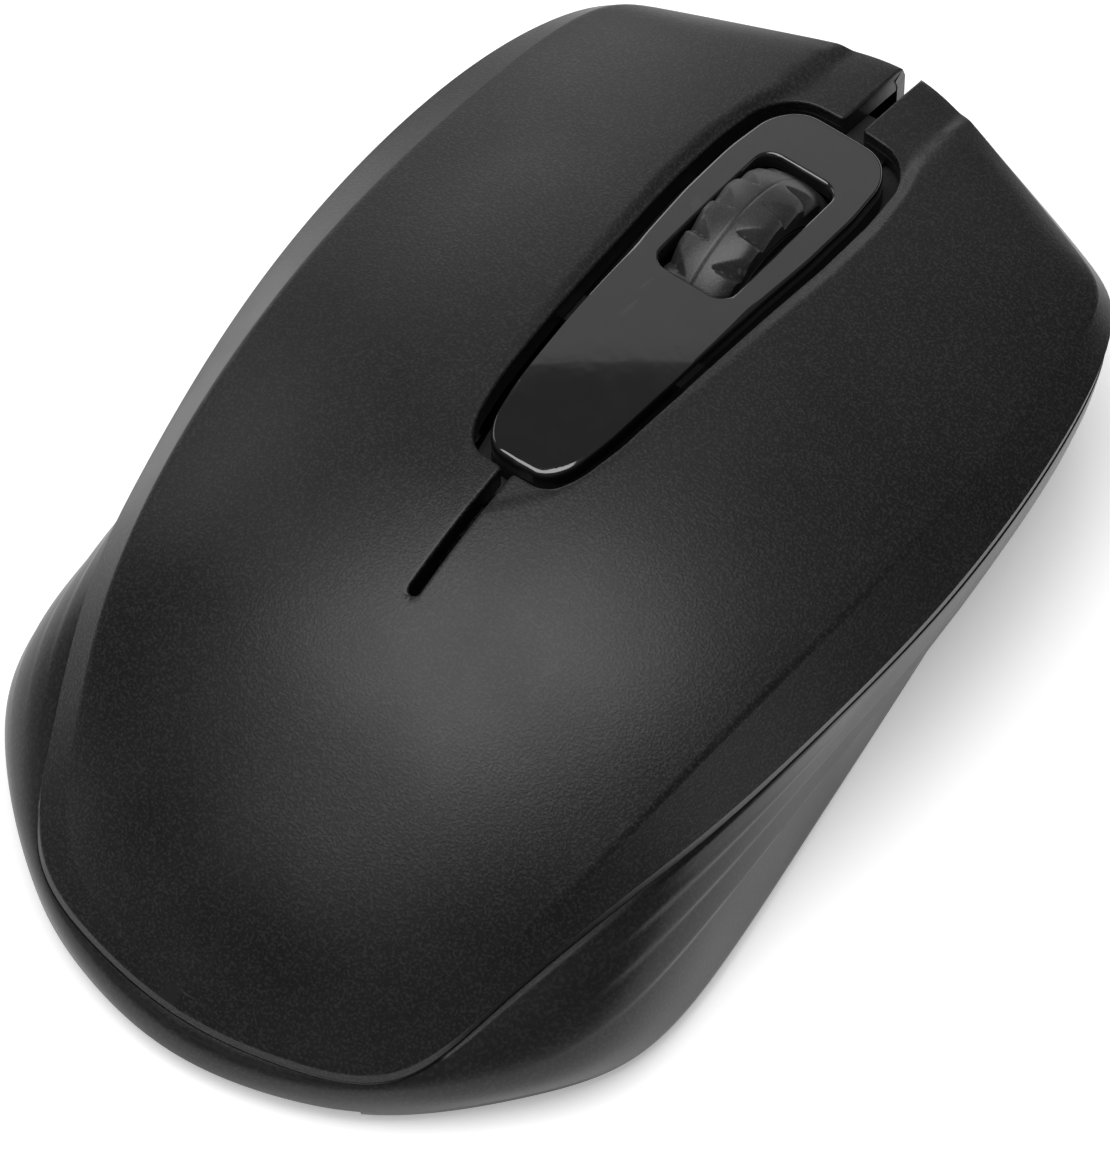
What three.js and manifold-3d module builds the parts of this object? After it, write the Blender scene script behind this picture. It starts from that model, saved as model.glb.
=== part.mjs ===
// Compact wireless optical mouse, in millimetres.
// +Z is up, the nose points along -Y and the user's left hand side is +X.
// The origin is on the desk, under the middle of the overall box.
import * as THREE from 'three';
import { mergeVertices } from 'three/addons/utils/BufferGeometryUtils.js';
import Module from 'manifold-3d';

const wasm = await Module();
wasm.setup();

// ---------------------------------------------------------------- driving dimensions

const LENGTH = 100;              // nose to tail
const WIDTH = 61.4;              // across the widest part of the button shell
const HEIGHT = 28.2;             // desk to the top of the palm
const WALL = 1.6;                // all moulded shells
const GAP = 0.3;                 // clearance between neighbouring pieces
const BASE_Z = 0.5;              // underside of the lower casing, held up by the glides
const FLOOR_THICKNESS = 2;       // of the lower casing
const FLOOR_Z = BASE_Z + FLOOR_THICKNESS;

const FLEX_Y = 0.17 * LENGTH;    // line where the button tongues start to flex
const PRESS_TRAVEL = 0.7;        // how far the nose of a button goes down
const SLIT_WIDTH = 1.0;          // slit behind the wheel trim
const NOSE_SLIT_WIDTH = 1.8;     // slit in front of the wheel trim

const TRIM_GAP = 1.15;           // black gap round the wheel trim
const TRIM_SINK = 0.45;          // the trim lies this much below the buttons
const TRIM_THICKNESS = 1.3;

const WHEEL_RADIUS = 10.2;
const WHEEL_WIDTH = 5.9;
const WHEEL_PROUD = 2.2;         // how far the tyre stands above the trim
const TYRE_DEPTH = 2.6;
const NOTCH_COUNT = 18;          // wedge notches on each side of the tyre
const NOTCH = { radial: 1.5, width: 2.3, length: 1.1, turn: 0.5, sink: 0.6 };
const AXLE_RADIUS = 1.5;
const OPENING_Y = -0.266 * LENGTH; // middle of the hole in the trim round the wheel
const OPENING_WIDTH = WHEEL_WIDTH + 1.3;
const OPENING_LENGTH = 15.6;

const BOARD_Z = 4.2;             // underside of the circuit board
const BOARD_THICKNESS = 1.2;
const BOARD_TOP = BOARD_Z + BOARD_THICKNESS;
const PART_Z = BOARD_TOP + GAP;  // what is soldered on the board starts here

const BATTERY_RADIUS = 5.25;     // one AAA cell
const BATTERY_LENGTH = 44.5;
const DOOR_HALF = 15;            // half width of the battery door
const DOOR_THICKNESS = 1.1;

const SWITCH_X = 14.6;            // click switches, left and right of the wheel
const SWITCH_Y = -0.37 * LENGTH; // line of their plungers
const SWITCH = { width: 5.8, length: 12.8, height: 6.5, front: 2.5 };
const PLUNGER = { width: 2.8, length: 1.3, proud: 0.8, travel: 0.6, well: 1.6 };
const BUTTON_RIB = { width: 3.2, length: 2.4 };  // rib under a button that meets the plunger

const SCREW = { shaft: 1.0, head: 2.1, headHeight: 1.3, boss: 3.2, pilot: 1.3, bite: 3.4 };
const BOARD_SCREW = { shaft: 0.9, head: 1.9, headHeight: 1.1, boss: 2.4 };
const SLOT = { width: 0.6, depth: 0.6 };  // driver slot in a screw head
const ROUND = 24;                // segments round a small cylinder

// ---------------------------------------------------------------- solids

const halfWidth = WIDTH / 2;
const halfLength = LENGTH / 2;

/** Closed geometry from points and triangles, turned so that its faces point outwards. */
function closedGeometry(points, triangles) {
  let volume = 0;
  for (const [a, b, c] of triangles) volume += points[a].dot(points[b].clone().cross(points[c]));
  const facing = volume < 0 ? ([a, b, c]) => [a, c, b] : (t) => t;
  const geometry = new THREE.BufferGeometry().setFromPoints(points);
  geometry.setIndex(triangles.flatMap(facing));
  return geometry;
}

/** Manifold solid of a closed three.js geometry. */
function solid(geometry) {
  const bare = geometry.clone();
  bare.deleteAttribute('normal');
  bare.deleteAttribute('uv');
  const merged = mergeVertices(bare, 1e-4);
  const vertProperties = new Float32Array(merged.attributes.position.array);
  const triVerts = new Uint32Array(merged.index.array);
  return new wasm.Manifold(new wasm.Mesh({ numProp: 3, vertProperties, triVerts }));
}

/** three.js geometry of a manifold solid. */
function geometryOf(body) {
  const mesh = body.getMesh();
  const geometry = new THREE.BufferGeometry();
  geometry.setAttribute('position', new THREE.BufferAttribute(mesh.vertProperties.slice(), 3));
  geometry.setIndex(new THREE.BufferAttribute(mesh.triVerts.slice(), 1));
  geometry.computeVertexNormals();
  return geometry;
}

/** Box between two corners. */
function block(x0, x1, y0, y1, z0, z1) {
  const geometry = new THREE.BoxGeometry(x1 - x0, y1 - y0, z1 - z0);
  return solid(geometry.translate((x0 + x1) / 2, (y0 + y1) / 2, (z0 + z1) / 2));
}

/** Upright cylinder. */
function post(x, y, radius, z0, z1, segments = ROUND) {
  const geometry = new THREE.CylinderGeometry(radius, radius, z1 - z0, segments);
  return solid(geometry.rotateX(Math.PI / 2).translate(x, y, (z0 + z1) / 2));
}

/** Cylinder, or prism with few segments, lying along X. */
function rod(x0, x1, y, z, radius, segments = ROUND) {
  const geometry = new THREE.CylinderGeometry(radius, radius, x1 - x0, segments);
  return solid(geometry.rotateZ(Math.PI / 2).translate((x0 + x1) / 2, y, z));
}

/** Plan outline extruded from z0 to z1. */
function slab(shape, z0, z1, curveSegments = 8) {
  const geometry = new THREE.ExtrudeGeometry(shape, { depth: z1 - z0, bevelEnabled: false, curveSegments });
  return solid(geometry.translate(0, 0, z0));
}

/** Rectangle in plan with rounded corners. */
function roundedRectangle(x0, x1, y0, y1, radius) {
  const shape = new THREE.Shape();
  shape.absarc(x1 - radius, y0 + radius, radius, -Math.PI / 2, 0);
  shape.absarc(x1 - radius, y1 - radius, radius, 0, Math.PI / 2);
  shape.absarc(x0 + radius, y1 - radius, radius, Math.PI / 2, Math.PI);
  shape.absarc(x0 + radius, y0 + radius, radius, Math.PI, 1.5 * Math.PI);
  return shape;
}

// ---------------------------------------------------------------- outer form
// The form is ruled by curves that run from the nose to the tail on one side.
// Every curve has a point at each of the same stations, as shares of the half width,
// the half length and the height, and station k of one curve faces station k of the next.

const STATIONS = 12;
const SPINE = [-0.984, -0.944, -0.87, -0.77, -0.58, -0.24, 0.08, 0.34, 0.56, 0.72, 0.84, 0.91, 0.932];
const CROWN = [[-1, 0.63], [-0.7, 0.785], [-0.4, 0.9], [0, 0.99], [0.24, 0.975],
  [0.48, 0.845], [0.68, 0.638], [0.86, 0.39], [0.97, 0.17]];
const CREASE = [[0, -0.992, 0.628], [0.326, -0.946, 0.608], [0.652, -0.876, 0.58], [0.785, -0.816, 0.595],
  [0.853, -0.6, 0.666], [0.88, -0.24, 0.752], [0.857, 0.06, 0.784], [0.808, 0.32, 0.745], [0.736, 0.54, 0.624],
  [0.632, 0.71, 0.457], [0.508, 0.84, 0.305], [0.293, 0.916, 0.248], [0, 0.944, 0.227]];
const BELT = [[0, -1, 0.582], [0.332, -0.956, 0.562], [0.665, -0.888, 0.534], [0.822, -0.824, 0.546],
  [0.951, -0.6, 0.603], [1, -0.24, 0.628], [0.967, 0.06, 0.621], [0.899, 0.32, 0.589], [0.808, 0.54, 0.546],
  [0.694, 0.724, 0.39], [0.56, 0.868, 0.241], [0.306, 0.94, 0.202], [0, 0.964, 0.191]];
const RIM = [[0, -0.996, 0.326], [0.329, -0.95, 0.326], [0.658, -0.88, 0.348], [0.812, -0.82, 0.44],
  [0.941, -0.6, 0.543], [0.99, -0.24, 0.571], [0.958, 0.06, 0.571], [0.893, 0.32, 0.539], [0.805, 0.54, 0.504],
  [0.691, 0.726, 0.355], [0.564, 0.872, 0.213], [0.306, 0.944, 0.181], [0, 0.968, 0.174]];
const FLANK = [[0, -0.972, 0.195], [0.319, -0.928, 0.195], [0.625, -0.86, 0.195], [0.782, -0.796, 0.213],
  [0.886, -0.59, 0.255], [0.925, -0.24, 0.27], [0.932, 0.06, 0.284], [0.951, 0.34, 0.305], [0.941, 0.58, 0.29],
  [0.821, 0.744, 0.213], [0.58, 0.884, 0.149], [0.303, 0.964, 0.128], [0, 0.99, 0.124]];
const FOOT = [[0, -0.952, 0.067], [0.306, -0.912, 0.067], [0.586, -0.848, 0.067], [0.73, -0.78, 0.067],
  [0.808, -0.59, 0.067], [0.88, -0.24, 0.067], [0.938, 0.08, 0.067], [0.984, 0.36, 0.067], [0.967, 0.58, 0.067],
  [0.811, 0.74, 0.067], [0.57, 0.886, 0.067], [0.293, 0.97, 0.067], [0, 1, 0.067]];
const AROUND = 34;               // steps from nose to tail on one side
const SECTION = { crown: 6, bevel: 2, rim: 1 };  // steps across each stretch of a section

/** Smooth curve through a list of station points. */
function stationCurve(points) {
  const scaled = points.map(([x, y, z]) => new THREE.Vector3(x * halfWidth, y * halfLength, z * HEIGHT));
  return new THREE.CatmullRomCurve3(scaled, false, 'centripetal');
}

/** Height of the top surface on the centre line. */
function crownHeight(y) {
  const knots = CROWN.map(([a, b]) => [a * halfLength, b * HEIGHT]);
  const last = knots.length - 2;
  const found = knots.findIndex(([a]) => a > y) - 1;
  const k = found < 0 ? (y < 0 ? 0 : last) : found;
  const slope = (i) => {
    const a = knots[Math.max(i - 1, 0)];
    const b = knots[Math.min(i + 1, last + 1)];
    return (b[1] - a[1]) / (b[0] - a[0]);
  };
  const [y0, z0] = knots[k];
  const [y1, z1] = knots[k + 1];
  const span = y1 - y0;
  const t = (y - y0) / span;
  const rise = z1 - z0;
  const bend0 = slope(k) * span - rise;
  const bend1 = rise - slope(k + 1) * span;
  return z0 + t * rise + t * (1 - t) * ((1 - t) * bend0 + t * bend1);
}

const creaseCurve = stationCurve(CREASE);
const beltCurve = stationCurve(BELT);
const rimCurve = stationCurve(RIM);
const flankCurve = stationCurve(FLANK);
const footCurve = stationCurve(FOOT);

/** Point of the centre line that faces station t (0 at the nose, 1 at the tail). */
function spinePoint(t) {
  const k = Math.min(Math.floor(t * STATIONS), STATIONS - 1);
  const share = t * STATIONS - k;
  const y = THREE.MathUtils.lerp(SPINE[k], SPINE[k + 1], share) * halfLength;
  return new THREE.Vector3(0, y, crownHeight(y));
}

/** Points of one section of the top surface, from the centre line to the rim. */
function topSection(t) {
  const spine = spinePoint(t);
  const crease = creaseCurve.getPoint(t);
  const belt = beltCurve.getPoint(t);
  const rim = rimCurve.getPoint(t);
  const points = [];
  for (let j = 0; j < SECTION.crown; j += 1) {
    const share = j / SECTION.crown;
    const point = spine.clone().lerp(crease, share);
    point.z = THREE.MathUtils.lerp(spine.z, crease.z, share ** 2.1);
    points.push(point);
  }
  for (let j = 0; j < SECTION.bevel; j += 1) points.push(crease.clone().lerp(belt, j / SECTION.bevel));
  for (let j = 0; j <= SECTION.rim; j += 1) points.push(belt.clone().lerp(rim, j / SECTION.rim));
  return points;
}

/** All sections round the form: up the +X side from the nose and back down the -X side. */
function roundTheForm(section) {
  const rows = [];
  for (let i = 0; i <= AROUND; i += 1) rows.push(section(i / AROUND));
  const mirrored = rows.slice(1, -1).reverse();
  const flip = (p) => new THREE.Vector3(-p.x, p.y, p.z);
  return [...rows, ...mirrored.map((row) => row.map(flip))];
}

/** The same grid moved inwards along its normals. */
function sunkGrid(grid, depth) {
  const count = grid.length;
  return grid.map((row, i) => row.map((point, j) => {
    const before = grid[(i + count - 1) % count][j];
    const after = grid[(i + 1) % count][j];
    const inner = row[Math.max(j - 1, 0)];
    const outer = row[Math.min(j + 1, row.length - 1)];
    const along = after.clone().sub(before);
    const across = outer.clone().sub(inner);
    const normal = across.cross(along).normalize();
    if (j === 0) normal.set(0, normal.y * Math.sign(normal.z), Math.abs(normal.z)).normalize();
    return point.clone().addScaledVector(normal, -depth);
  }));
}

/** Solid between two grids of the same size, closed along the rim. */
function between(top, bottom) {
  const count = top.length;
  const width = top[0].length;
  const points = [...top.flat(), ...bottom.flat()];
  const at = (side, i, j) => side * count * width + (i % count) * width + j;
  const triangles = [];
  const quad = (a, b, c, d) => triangles.push([a, b, c], [a, c, d]);
  for (let i = 0; i < count; i += 1) {
    for (let j = 0; j < width - 1; j += 1) {
      quad(at(0, i, j), at(0, i, j + 1), at(0, i + 1, j + 1), at(0, i + 1, j));
      quad(at(1, i, j), at(1, i + 1, j), at(1, i + 1, j + 1), at(1, i, j + 1));
    }
    const rim = width - 1;
    quad(at(0, i, rim), at(1, i, rim), at(1, i + 1, rim), at(0, i + 1, rim));
  }
  return solid(closedGeometry(points, triangles));
}

const topGrid = roundTheForm(topSection);

/** Everything below the top surface sunk by a depth, to trim what stands inside. */
function spaceBelow(depth) {
  const top = sunkGrid(topGrid, depth);
  const bottom = top.map((row) => row.map((p) => new THREE.Vector3(p.x, p.y, -1)));
  return between(top, bottom);
}

// ---------------------------------------------------------------- top shell

/** How far the hole for the trim reaches past the wheel's opening on each side, from its front to its rear end. */
const TRIM_HOLE = [[1.3, -0.824], [2.9, -0.77], [3.6, -0.66], [3.6, -0.54], [3.2, -0.4], [2.7, -0.2],
  [2.1, -0.04], [1.3, 0.05], [-0.2, 0.096]];

/** Outline of the trim hole, or of the trim itself when it is inset. */
function trimOutline(inset) {
  const side = TRIM_HOLE.map(([x, y]) => new THREE.Vector2(OPENING_WIDTH / 2 + x - inset, y * halfLength));
  side[0].y += inset;
  side[side.length - 1].y -= inset;
  const other = side.map((p) => new THREE.Vector2(-p.x, p.y)).reverse();
  const shape = new THREE.Shape();
  shape.moveTo(side[0].x, side[0].y);
  shape.splineThru(side.slice(1));
  shape.lineTo(other[0].x, other[0].y);
  shape.splineThru(other.slice(1));
  return shape;
}

const TALL = HEIGHT + 10;

/** Slit that parts the two buttons: wide at the nose, narrow behind the trim. */
function buttonSlit() {
  const nose = block(-NOSE_SLIT_WIDTH / 2, NOSE_SLIT_WIDTH / 2, -LENGTH, OPENING_Y, -1, TALL);
  const rear = block(-SLIT_WIDTH / 2, SLIT_WIDTH / 2, OPENING_Y, FLEX_Y, -1, TALL);
  return nose.add(rear).add(post(0, FLEX_Y, SLIT_WIDTH / 2, -1, TALL));
}

const wholeShell = between(topGrid, sunkGrid(topGrid, WALL))
  .subtract(slab(trimOutline(0), -1, TALL, 2))
  .subtract(buttonSlit());

const clipSpace = spaceBelow(WALL / 2);
const insideSpace = spaceBelow(WALL + GAP);

/** Height of the flat top of a click switch. */
const switchTop = PART_Z + SWITCH.height;
const plungerTop = switchTop + PLUNGER.proud;

/** Button tongue on one side (+1 is the user's left), with its rib over the switch plunger. */
function button(side) {
  const near = side > 0 ? 0 : -WIDTH;
  const region = block(near, near + WIDTH, -LENGTH, FLEX_Y - GAP / 2, -1, TALL);
  const x = side * SWITCH_X;
  const halfRib = BUTTON_RIB.width / 2;
  const rib = block(x - halfRib, x + halfRib, SWITCH_Y - BUTTON_RIB.length / 2, SWITCH_Y + BUTTON_RIB.length / 2,
    plungerTop + GAP, TALL);
  return wholeShell.intersect(region).add(rib.intersect(clipSpace));
}

const coverScrew = { x: 0.62 * halfWidth, y: 0.5 * halfLength };
const coverBossZ = 9.5;          // where the casing pillar ends and the cover boss starts
const frontBossZ = 7.5;          // top of the pillar in front of the wheel

/** Palm cover: the rear of the shell, with the two bosses that its screws bite into. */
function palmCover() {
  let cover = wholeShell.intersect(block(-WIDTH, WIDTH, FLEX_Y + GAP / 2, LENGTH, -1, TALL));
  for (const side of [-1, 1]) {
    const boss = post(side * coverScrew.x, coverScrew.y, SCREW.boss, coverBossZ, TALL);
    const pilot = post(side * coverScrew.x, coverScrew.y, SCREW.pilot, 0, coverBossZ + SCREW.bite + 1);
    cover = cover.add(boss.intersect(clipSpace)).subtract(pilot);
  }
  return cover;
}

/** The wheel's axle lies square below the middle of its opening. */
const trimTopAtWheel = crownHeight(OPENING_Y) - TRIM_SINK;
const axleDepth = WHEEL_RADIUS - WHEEL_PROUD;
const trimSlope = Math.atan((crownHeight(OPENING_Y + 5) - crownHeight(OPENING_Y - 5)) / 10);
const WHEEL_Y = OPENING_Y + 0.85 * axleDepth * Math.sin(trimSlope);
const WHEEL_Z = trimTopAtWheel - axleDepth * Math.cos(trimSlope);

/** Slice of the form between two depths below its surface. */
function layer(depth, thickness) {
  return between(sunkGrid(topGrid, depth), sunkGrid(topGrid, depth + thickness));
}

/** Rounded hole for the wheel, with the round relief that clears the tyre at both ends. */
function wheelOpening(grow) {
  const x = OPENING_WIDTH / 2 + grow;
  const y = OPENING_LENGTH / 2 + grow;
  const relief = rod(-x, x, WHEEL_Y, WHEEL_Z, WHEEL_RADIUS + 0.4, 48);
  const hole = slab(roundedRectangle(-x, x, OPENING_Y - y, OPENING_Y + y, 1.6), -1, TALL, 4);
  return hole.add(relief);
}

function wheelTrim() {
  return layer(TRIM_SINK, TRIM_THICKNESS)
    .intersect(slab(trimOutline(TRIM_GAP), -1, TALL, 2))
    .subtract(wheelOpening(0));
}

const bracketLeg = { x: 5.6, width: 2.4, length: 3 };
const frontScrew = { x: 0, y: -0.835 * halfLength };

/** Bracket that carries the trim: a frame under it, a front leg and two legs on the board. */
function trimBracket() {
  const depth = TRIM_SINK + TRIM_THICKNESS + GAP;
  const outline = slab(trimOutline(TRIM_GAP + 0.5), -1, TALL, 2);
  let bracket = layer(depth, WALL).intersect(outline).subtract(wheelOpening(1.2));
  const below = spaceBelow(depth + WALL / 2);
  for (const side of [-1, 1]) {
    const { x, width, length } = bracketLeg;
    const y = boardRear - GAP - length;
    const inner = side * (x - 2.5);
    const outer = side * (x + width / 2);
    const span = [Math.min(inner, outer), Math.max(inner, outer)];
    const arm = block(...span, y, y + length, trimTopAtWheel - 6, TALL);
    const leg = block(side * x - width / 2, side * x + width / 2, y, y + length, PART_Z, TALL);
    bracket = bracket.add(arm.intersect(below)).add(leg.intersect(below));
  }
  const frontLeg = post(frontScrew.x, frontScrew.y, SCREW.boss, frontBossZ + GAP, TALL);
  const pilot = post(frontScrew.x, frontScrew.y, SCREW.pilot, 0, frontBossZ + GAP + SCREW.bite + 0.6);
  const reach = block(-2.4, 2.4, frontScrew.y - 1, -0.76 * halfLength, frontBossZ + 6, TALL);
  return bracket.add(frontLeg.intersect(below)).add(reach.intersect(below)).subtract(pilot);
}

// ---------------------------------------------------------------- lower casing

const BOSS_TOP = { cover: coverBossZ - GAP, front: frontBossZ };
const SEAM_GAP = 0.35;           // line between the shell and the casing

/** How far the casing's edge stays below the shell's rim, more where a button comes down. */
function sillGap(y) {
  const reach = Math.max(FLEX_Y - y, 0) / (FLEX_Y + halfLength);
  return SEAM_GAP + reach * PRESS_TRAVEL;
}

/** Outer points of one section of the casing, from the underside up to the seam. */
function casingSection(t) {
  const foot = footCurve.getPoint(t);
  const flank = flankCurve.getPoint(t);
  const seam = rimCurve.getPoint(t);
  seam.z -= sillGap(seam.y);
  const side = new THREE.CatmullRomCurve3([foot, flank, seam]);
  const under = new THREE.Vector3(foot.x * 0.955, foot.y * 0.972, BASE_Z);
  return [under, ...side.getPoints(4)];
}

/** Ring of points moved inwards in plan. */
function insetRing(ring, inset) {
  return ring.map((point, i) => {
    const before = ring[(i + ring.length - 1) % ring.length];
    const after = ring[(i + 1) % ring.length];
    const along = after.clone().sub(before).setZ(0).normalize();
    return new THREE.Vector3(point.x - along.y * inset, point.y + along.x * inset, point.z);
  });
}

/** Solid skinned over rings of points, closed by a fan at both ends. */
function loft(rings) {
  const count = rings[0].length;
  const points = rings.flat();
  const triangles = [];
  for (let k = 0; k < rings.length - 1; k += 1) {
    for (let i = 0; i < count; i += 1) {
      const a = k * count + i;
      const b = k * count + ((i + 1) % count);
      triangles.push([a, b, b + count], [a, b + count, a + count]);
    }
  }
  const fan = (ringIndex, flip) => {
    const ring = rings[ringIndex];
    const centre = points.push(new THREE.Vector3(0, 0, ring[0].z)) - 1;
    for (let i = 0; i < count; i += 1) {
      const a = ringIndex * count + i;
      const b = ringIndex * count + ((i + 1) % count);
      triangles.push(flip ? [a, centre, b] : [a, b, centre]);
    }
  };
  fan(0, true);
  fan(rings.length - 1, false);
  return solid(closedGeometry(points, triangles));
}

const casingRows = roundTheForm(casingSection);
const casingRings = casingRows[0].map((_, k) => casingRows.map((row) => row[k]));

/** The casing as a tub: up the outside, over the edge and down the inside. */
function casingTub() {
  const outside = casingRings;
  const inside = outside.slice(2).reverse().map((ring) => insetRing(ring, WALL));
  const floor = insetRing(outside[1], WALL).map((p) => p.clone().setZ(FLOOR_Z));
  const lowered = (grid) => grid.map((row) => row.map((p) => new THREE.Vector3(p.x, p.y, p.z - SEAM_GAP)));
  const shellSpace = between(lowered(topGrid), lowered(sunkGrid(topGrid, 2 * WALL)));
  return loft([...outside, ...inside, floor]).subtract(shellSpace);
}

/** Outline of the underside in plan, moved inwards. */
function underOutline(inset) {
  return new THREE.Shape(insetRing(casingRings[0], inset).map((p) => new THREE.Vector2(p.x, p.y)));
}

const GLIDE_THICKNESS = 0.8;
const glideRecessTop = GLIDE_THICKNESS + GAP;
const FRONT_GLIDE = { length: 24, width: 5, radius: 2 };
const REAR_GLIDE = { length: 14, width: 5.4, radius: 2.4 };

/** Outline of a glide round its middle. */
function glideOutline(x, y, sizeX, sizeY, radius) {
  return roundedRectangle(x - sizeX / 2, x + sizeX / 2, y - sizeY / 2, y + sizeY / 2, radius);
}

/** Glide under one of the cover's screws, which it hides. */
function rearGlide(side) {
  const { length, width, radius } = REAR_GLIDE;
  return glideOutline(side * coverScrew.x, coverScrew.y, width, length, radius);
}

const glides = {
  front_glide: glideOutline(0, frontScrew.y, FRONT_GLIDE.length, FRONT_GLIDE.width, FRONT_GLIDE.radius),
  rear_glide_left: rearGlide(1),
  rear_glide_right: rearGlide(-1),
};

// The bay holds, from the user's right to the left: the receiver, the divider and the cell.
const receiver = { width: 12, height: 4.5, plug: 11.8, cap: 6.6, capHalf: 6.6, y: 10, z: BASE_Z + DOOR_THICKNESS + 0.7 };
receiver.x = receiver.capHalf + 0.4 - DOOR_HALF - GAP;
const divider = { x0: receiver.x + receiver.capHalf + 0.5, thickness: 1 };
const BATTERY_X = divider.x0 + divider.thickness + 0.65 + GAP + BATTERY_RADIUS;
const cellZ = BASE_Z + DOOR_THICKNESS + GAP + 0.1 + BATTERY_RADIUS;

/** Furthest place along the centre line where the cover still clears something this tall. */
function rearmostUnder(height) {
  const headroom = height + 1.75 * WALL + 3 * GAP;
  let y = halfLength;
  while (crownHeight(y) < headroom) y -= 0.05;
  return y;
}

const batteryRear = rearmostUnder(cellZ + BATTERY_RADIUS);
const BATTERY_FRONT = batteryRear - BATTERY_LENGTH;
const doorFront = BATTERY_FRONT - 1.2;
const bayRear = batteryRear + 3.2;
const SENSOR_Y = doorFront - 5.2;
const lensHalf = 3.2;
const knob = { x: -9.5, y: SENSOR_Y - 3.5, width: 2.6, length: 3.4, travel: 2 };
const boardScrews = [[15, SENSOR_Y - 1], [-15, SWITCH_Y + SWITCH.length + 4]];
const WALL_THIN = 1.1;

/** Walls of the battery bay and of the receiver's pocket. */
function bayWalls() {
  const top = 9;
  const left = DOOR_HALF + GAP;
  const rear = bayRear + WALL_THIN;
  const front = block(-left - WALL_THIN, left + WALL_THIN, doorFront - WALL_THIN - GAP, doorFront - GAP,
    FLOOR_Z - 0.5, top);
  const sides = [-1, 1].map((side) => {
    const x = side * (left + WALL_THIN / 2);
    return block(x - WALL_THIN / 2, x + WALL_THIN / 2, doorFront - GAP - 0.2, rear, FLOOR_Z - 0.5, 6);
  });
  const middleWall = block(divider.x0, divider.x0 + divider.thickness, doorFront - GAP - 0.2, rear,
    FLOOR_Z + 0.2, 6.5);
  const back = block(-left, left, rear - WALL_THIN, rear, FLOOR_Z + 0.2, 6);
  return [front, ...sides, middleWall, back].reduce((a, b) => a.add(b)).intersect(insideSpace);
}

function lowerCasing() {
  const left = DOOR_HALF + GAP;
  let casing = casingTub();
  for (const side of [-1, 1]) {
    casing = casing.add(post(side * coverScrew.x, coverScrew.y, SCREW.boss, FLOOR_Z - 0.4, BOSS_TOP.cover));
  }
  casing = casing.add(post(frontScrew.x, frontScrew.y, SCREW.boss, FLOOR_Z - 0.4, BOSS_TOP.front));
  for (const [x, y] of boardScrews) {
    casing = casing.add(post(x, y, BOARD_SCREW.boss, FLOOR_Z - 0.4, BOARD_Z - GAP));
  }
  casing = casing.add(bayWalls());
  casing = casing.subtract(block(-left, left, doorFront - GAP, bayRear, -1, FLOOR_Z + 0.1));
  casing = casing.subtract(block(-left, left, bayRear - 0.1, LENGTH, -1, BASE_Z + DOOR_THICKNESS + GAP));
  for (const outline of Object.values(glides)) casing = casing.subtract(slab(grown(outline), -1, glideRecessTop));
  const lens = lensHalf + GAP;
  casing = casing.subtract(block(-lens, lens, SENSOR_Y - lens, SENSOR_Y + lens, -1, FLOOR_Z + 0.1));
  casing = casing.subtract(block(knob.x - knob.width / 2 - GAP, knob.x + knob.width / 2 + GAP,
    knob.y - GAP, knob.y + knob.length + knob.travel + GAP, -1, FLOOR_Z + 0.1));
  for (const [x, y, top] of casingScrews) {
    casing = casing.subtract(post(x, y, SCREW.head + GAP, -1, screwHeadTop + GAP));
    casing = casing.subtract(post(x, y, SCREW.shaft + GAP, 0, top + 1));
  }
  for (const [x, y] of boardScrews) casing = casing.subtract(post(x, y, SCREW.shaft + GAP, FLOOR_Z, BOARD_Z));
  return casing;
}

/** Glide outline grown by the clearance of its recess. */
function grown(shape) {
  const points = shape.getPoints(4);
  const centre = points.reduce((a, p) => a.add(p), new THREE.Vector2()).divideScalar(points.length);
  return new THREE.Shape(points.map((p) => {
    const away = p.clone().sub(centre);
    return new THREE.Vector2(p.x + Math.sign(away.x) * GAP, p.y + Math.sign(away.y) * GAP);
  }));
}

const screwHeadTop = glideRecessTop + GAP + SCREW.headHeight;
const casingScrews = [
  [coverScrew.x, coverScrew.y, BOSS_TOP.cover],
  [-coverScrew.x, coverScrew.y, BOSS_TOP.cover],
  [frontScrew.x, frontScrew.y, BOSS_TOP.front],
];

/** Screw pointing up: its head sits low in the casing and its tip ends in the boss above. */
function casingScrew([x, y, bossTop]) {
  const head = post(x, y, SCREW.head, screwHeadTop - SCREW.headHeight, screwHeadTop);
  const shaft = post(x, y, SCREW.shaft, screwHeadTop - 0.2, bossTop + SCREW.bite, 16);
  const slotTop = screwHeadTop - SCREW.headHeight + SLOT.depth;
  const long = 0.6 * SCREW.head;
  const thin = SLOT.width / 2;
  const slot = block(x - long, x + long, y - thin, y + thin, 0, slotTop);
  const cross = block(x - thin, x + thin, y - long, y + long, 0, slotTop);
  return head.add(shaft).subtract(slot.add(cross));
}

/** Screw pointing down through the board. */
function boardScrew([x, y]) {
  const headTop = PART_Z + BOARD_SCREW.headHeight;
  const head = post(x, y, BOARD_SCREW.head, PART_Z, headTop);
  const shaft = post(x, y, BOARD_SCREW.shaft, FLOOR_Z + GAP, PART_Z + 0.2, 16);
  const long = 0.6 * BOARD_SCREW.head;
  const slot = block(x - long, x + long, y - SLOT.width / 2, y + SLOT.width / 2, headTop - SLOT.depth, TALL);
  return head.add(shaft).subtract(slot);
}

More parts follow.
